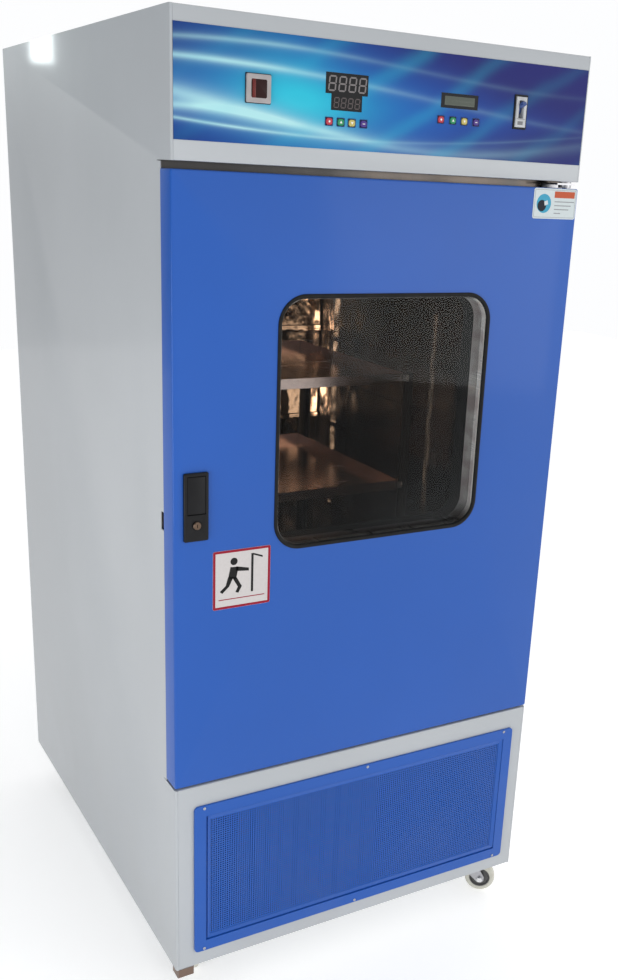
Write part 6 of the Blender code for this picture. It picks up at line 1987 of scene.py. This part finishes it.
@dataclass(frozen=True)
class Lamp:
    """A soft rectangular light, placed and aimed in the cabinet's metres and hidden from the camera.

    It lights everything, or where solids are named in only_on, those alone.
    """

    name: str
    place: Point
    target: Point
    size: Pair
    power: float
    colour: Colour
    only_on: tuple[str, ...] = ()

    def hang(self) -> None:
        """Adds the light to the scene."""
        lamp = bpy.data.lights.new(self.name, "AREA")
        lamp.shape = "RECTANGLE"
        lamp.size, lamp.size_y = self.size
        lamp.energy = self.power
        lamp.color = self.colour
        light = bpy.data.objects.new(self.name, lamp)
        bpy.context.scene.collection.objects.link(light)
        light.location = Vector(self.place) + CABINET
        light.rotation_euler = (Vector(self.target) - Vector(self.place)).to_track_quat("-Z", "Y").to_euler()
        light.visible_camera = False
        if self.only_on:
            lit = bpy.data.collections.new(f"{self.name}_receivers")
            for node in self.only_on:
                lit.objects.link(frame["nodes"][node])
            light.light_linking.receiver_collection = lit


@dataclass
class Studio:
    """Floor, sky, soft lights and the photograph's camera."""

    floor_reach: float = 7.0
    sky_dark: Colour = (0.14, 0.15, 0.16)
    sky_pale: Colour = (0.985, 0.99, 1.0)
    sky_turn: Pair = (-0.60, 0.02)
    lamps: tuple[Lamp, ...] = (
        Lamp("front_softbox", (2.7, -2.6, 1.3), (0.4, 0.2, 0.9), (1.8, 1.8), 20, (1.0, 0.99, 0.97)),
        Lamp("left_softbox", (-1.6, -0.8, 0.8), (0.0, 0.15, 0.7), (1.0, 1.0), 17, (1.0, 1.0, 1.0)),
        Lamp("side_window", (-1.0, 3.1, 1.78), (0.0, 0.3, 1.52), (0.26, 0.12), 2.2, (0.9, 1.0, 1.0)),
        Lamp(
            "chamber_glow",
            (0.41, 0.085, 0.90),
            (0.60, 0.80, 0.95),
            (0.13, 0.62),
            3.2,
            (1.0, 0.74, 0.52),
            ("chamber_liner", "air_baffle"),
        ),
    )
    focal_pixels: float = 1102.13
    image_width: int = 618
    image_height: int = 980
    principal: Pair = (371.35, 544.35)
    eye: Point = (-0.58238, -1.53471, 1.35432)
    right: Point = (0.85979144, -0.50827171, 0.04917879)
    down: Point = (-0.1207451, -0.29593379, -0.94754621)
    forward: Point = (0.4961646, 0.80875402, -0.31581266)
    sensor: float = 24.0

    def build(self) -> None:
        """Sets the stage."""
        self.floor()
        self.sky()
        for lamp in self.lamps:
            lamp.hang()
        self.camera()

    def floor(self) -> None:
        """Lays the pale floor."""
        reach = self.floor_reach
        mesh = bpy.data.meshes.new("floor")
        mesh.from_pydata([(u, v, 0) for u, v in box_outline(-reach, -reach, reach, reach)], [], [(0, 1, 2, 3)])
        mesh.materials.append(StudioFloor().paint())
        floor = bpy.data.objects.new("floor", mesh)
        bpy.context.scene.collection.objects.link(floor)

    def sky(self) -> None:
        """Lights everything with a pale sky that is dark towards the left, except where the camera sees it."""
        world = bpy.data.worlds.new("studio")
        world.use_nodes = True
        sky = Graph(world.node_tree)
        direction = sky.signal("ShaderNodeTexCoord", {}, {}, "Generated")
        pale = sky.signal("ShaderNodeSeparateXYZ", {}, {0: direction}, "X").ramp(*self.sky_turn)
        seen = sky.signal("ShaderNodeLightPath", {}, {}, "Is Camera Ray")
        background = world.node_tree.nodes["Background"]
        sky.link(sky.blend(seen.most(pale), self.sky_dark, self.sky_pale), background.inputs["Color"])
        background.inputs["Strength"].default_value = 1.0
        bpy.context.scene.world = world
        bpy.context.scene.view_settings.view_transform = "Standard"

    def camera(self) -> None:
        """Places the camera where the photograph was taken from."""
        lens = bpy.data.cameras.new("camera")
        lens.sensor_fit = "VERTICAL"
        lens.sensor_height = self.sensor
        lens.lens = self.focal_pixels / self.image_height * self.sensor
        lens.shift_x = (self.image_width / 2 - self.principal[0]) / self.image_height
        lens.shift_y = (self.principal[1] - self.image_height / 2) / self.image_height
        lens.clip_start = 0.05
        camera = bpy.data.objects.new("camera", lens)
        bpy.context.scene.collection.objects.link(camera)
        axes = Matrix((self.right, [-part for part in self.down], [-part for part in self.forward])).transposed()
        camera.matrix_world = Matrix.Translation(Vector(self.eye) + CABINET) @ axes.to_4x4()
        bpy.context.scene.camera = camera


def main() -> None:
    """Builds every sub-assembly in order."""
    logging.basicConfig(level=logging.INFO, format="%(message)s")
    finishes = Finishes()
    for assembly in (
        Studio(),
        Cabinet(finishes),
        VentGrille(finishes),
        ControlHead(finishes),
        Door(finishes),
        Chamber(finishes),
        Rack(finishes),
        Machinery(finishes),
        Castors(finishes),
    ):
        LOG.info("building %s", type(assembly).__name__)
        assembly.build()


if __name__ == "__main__":
    main()
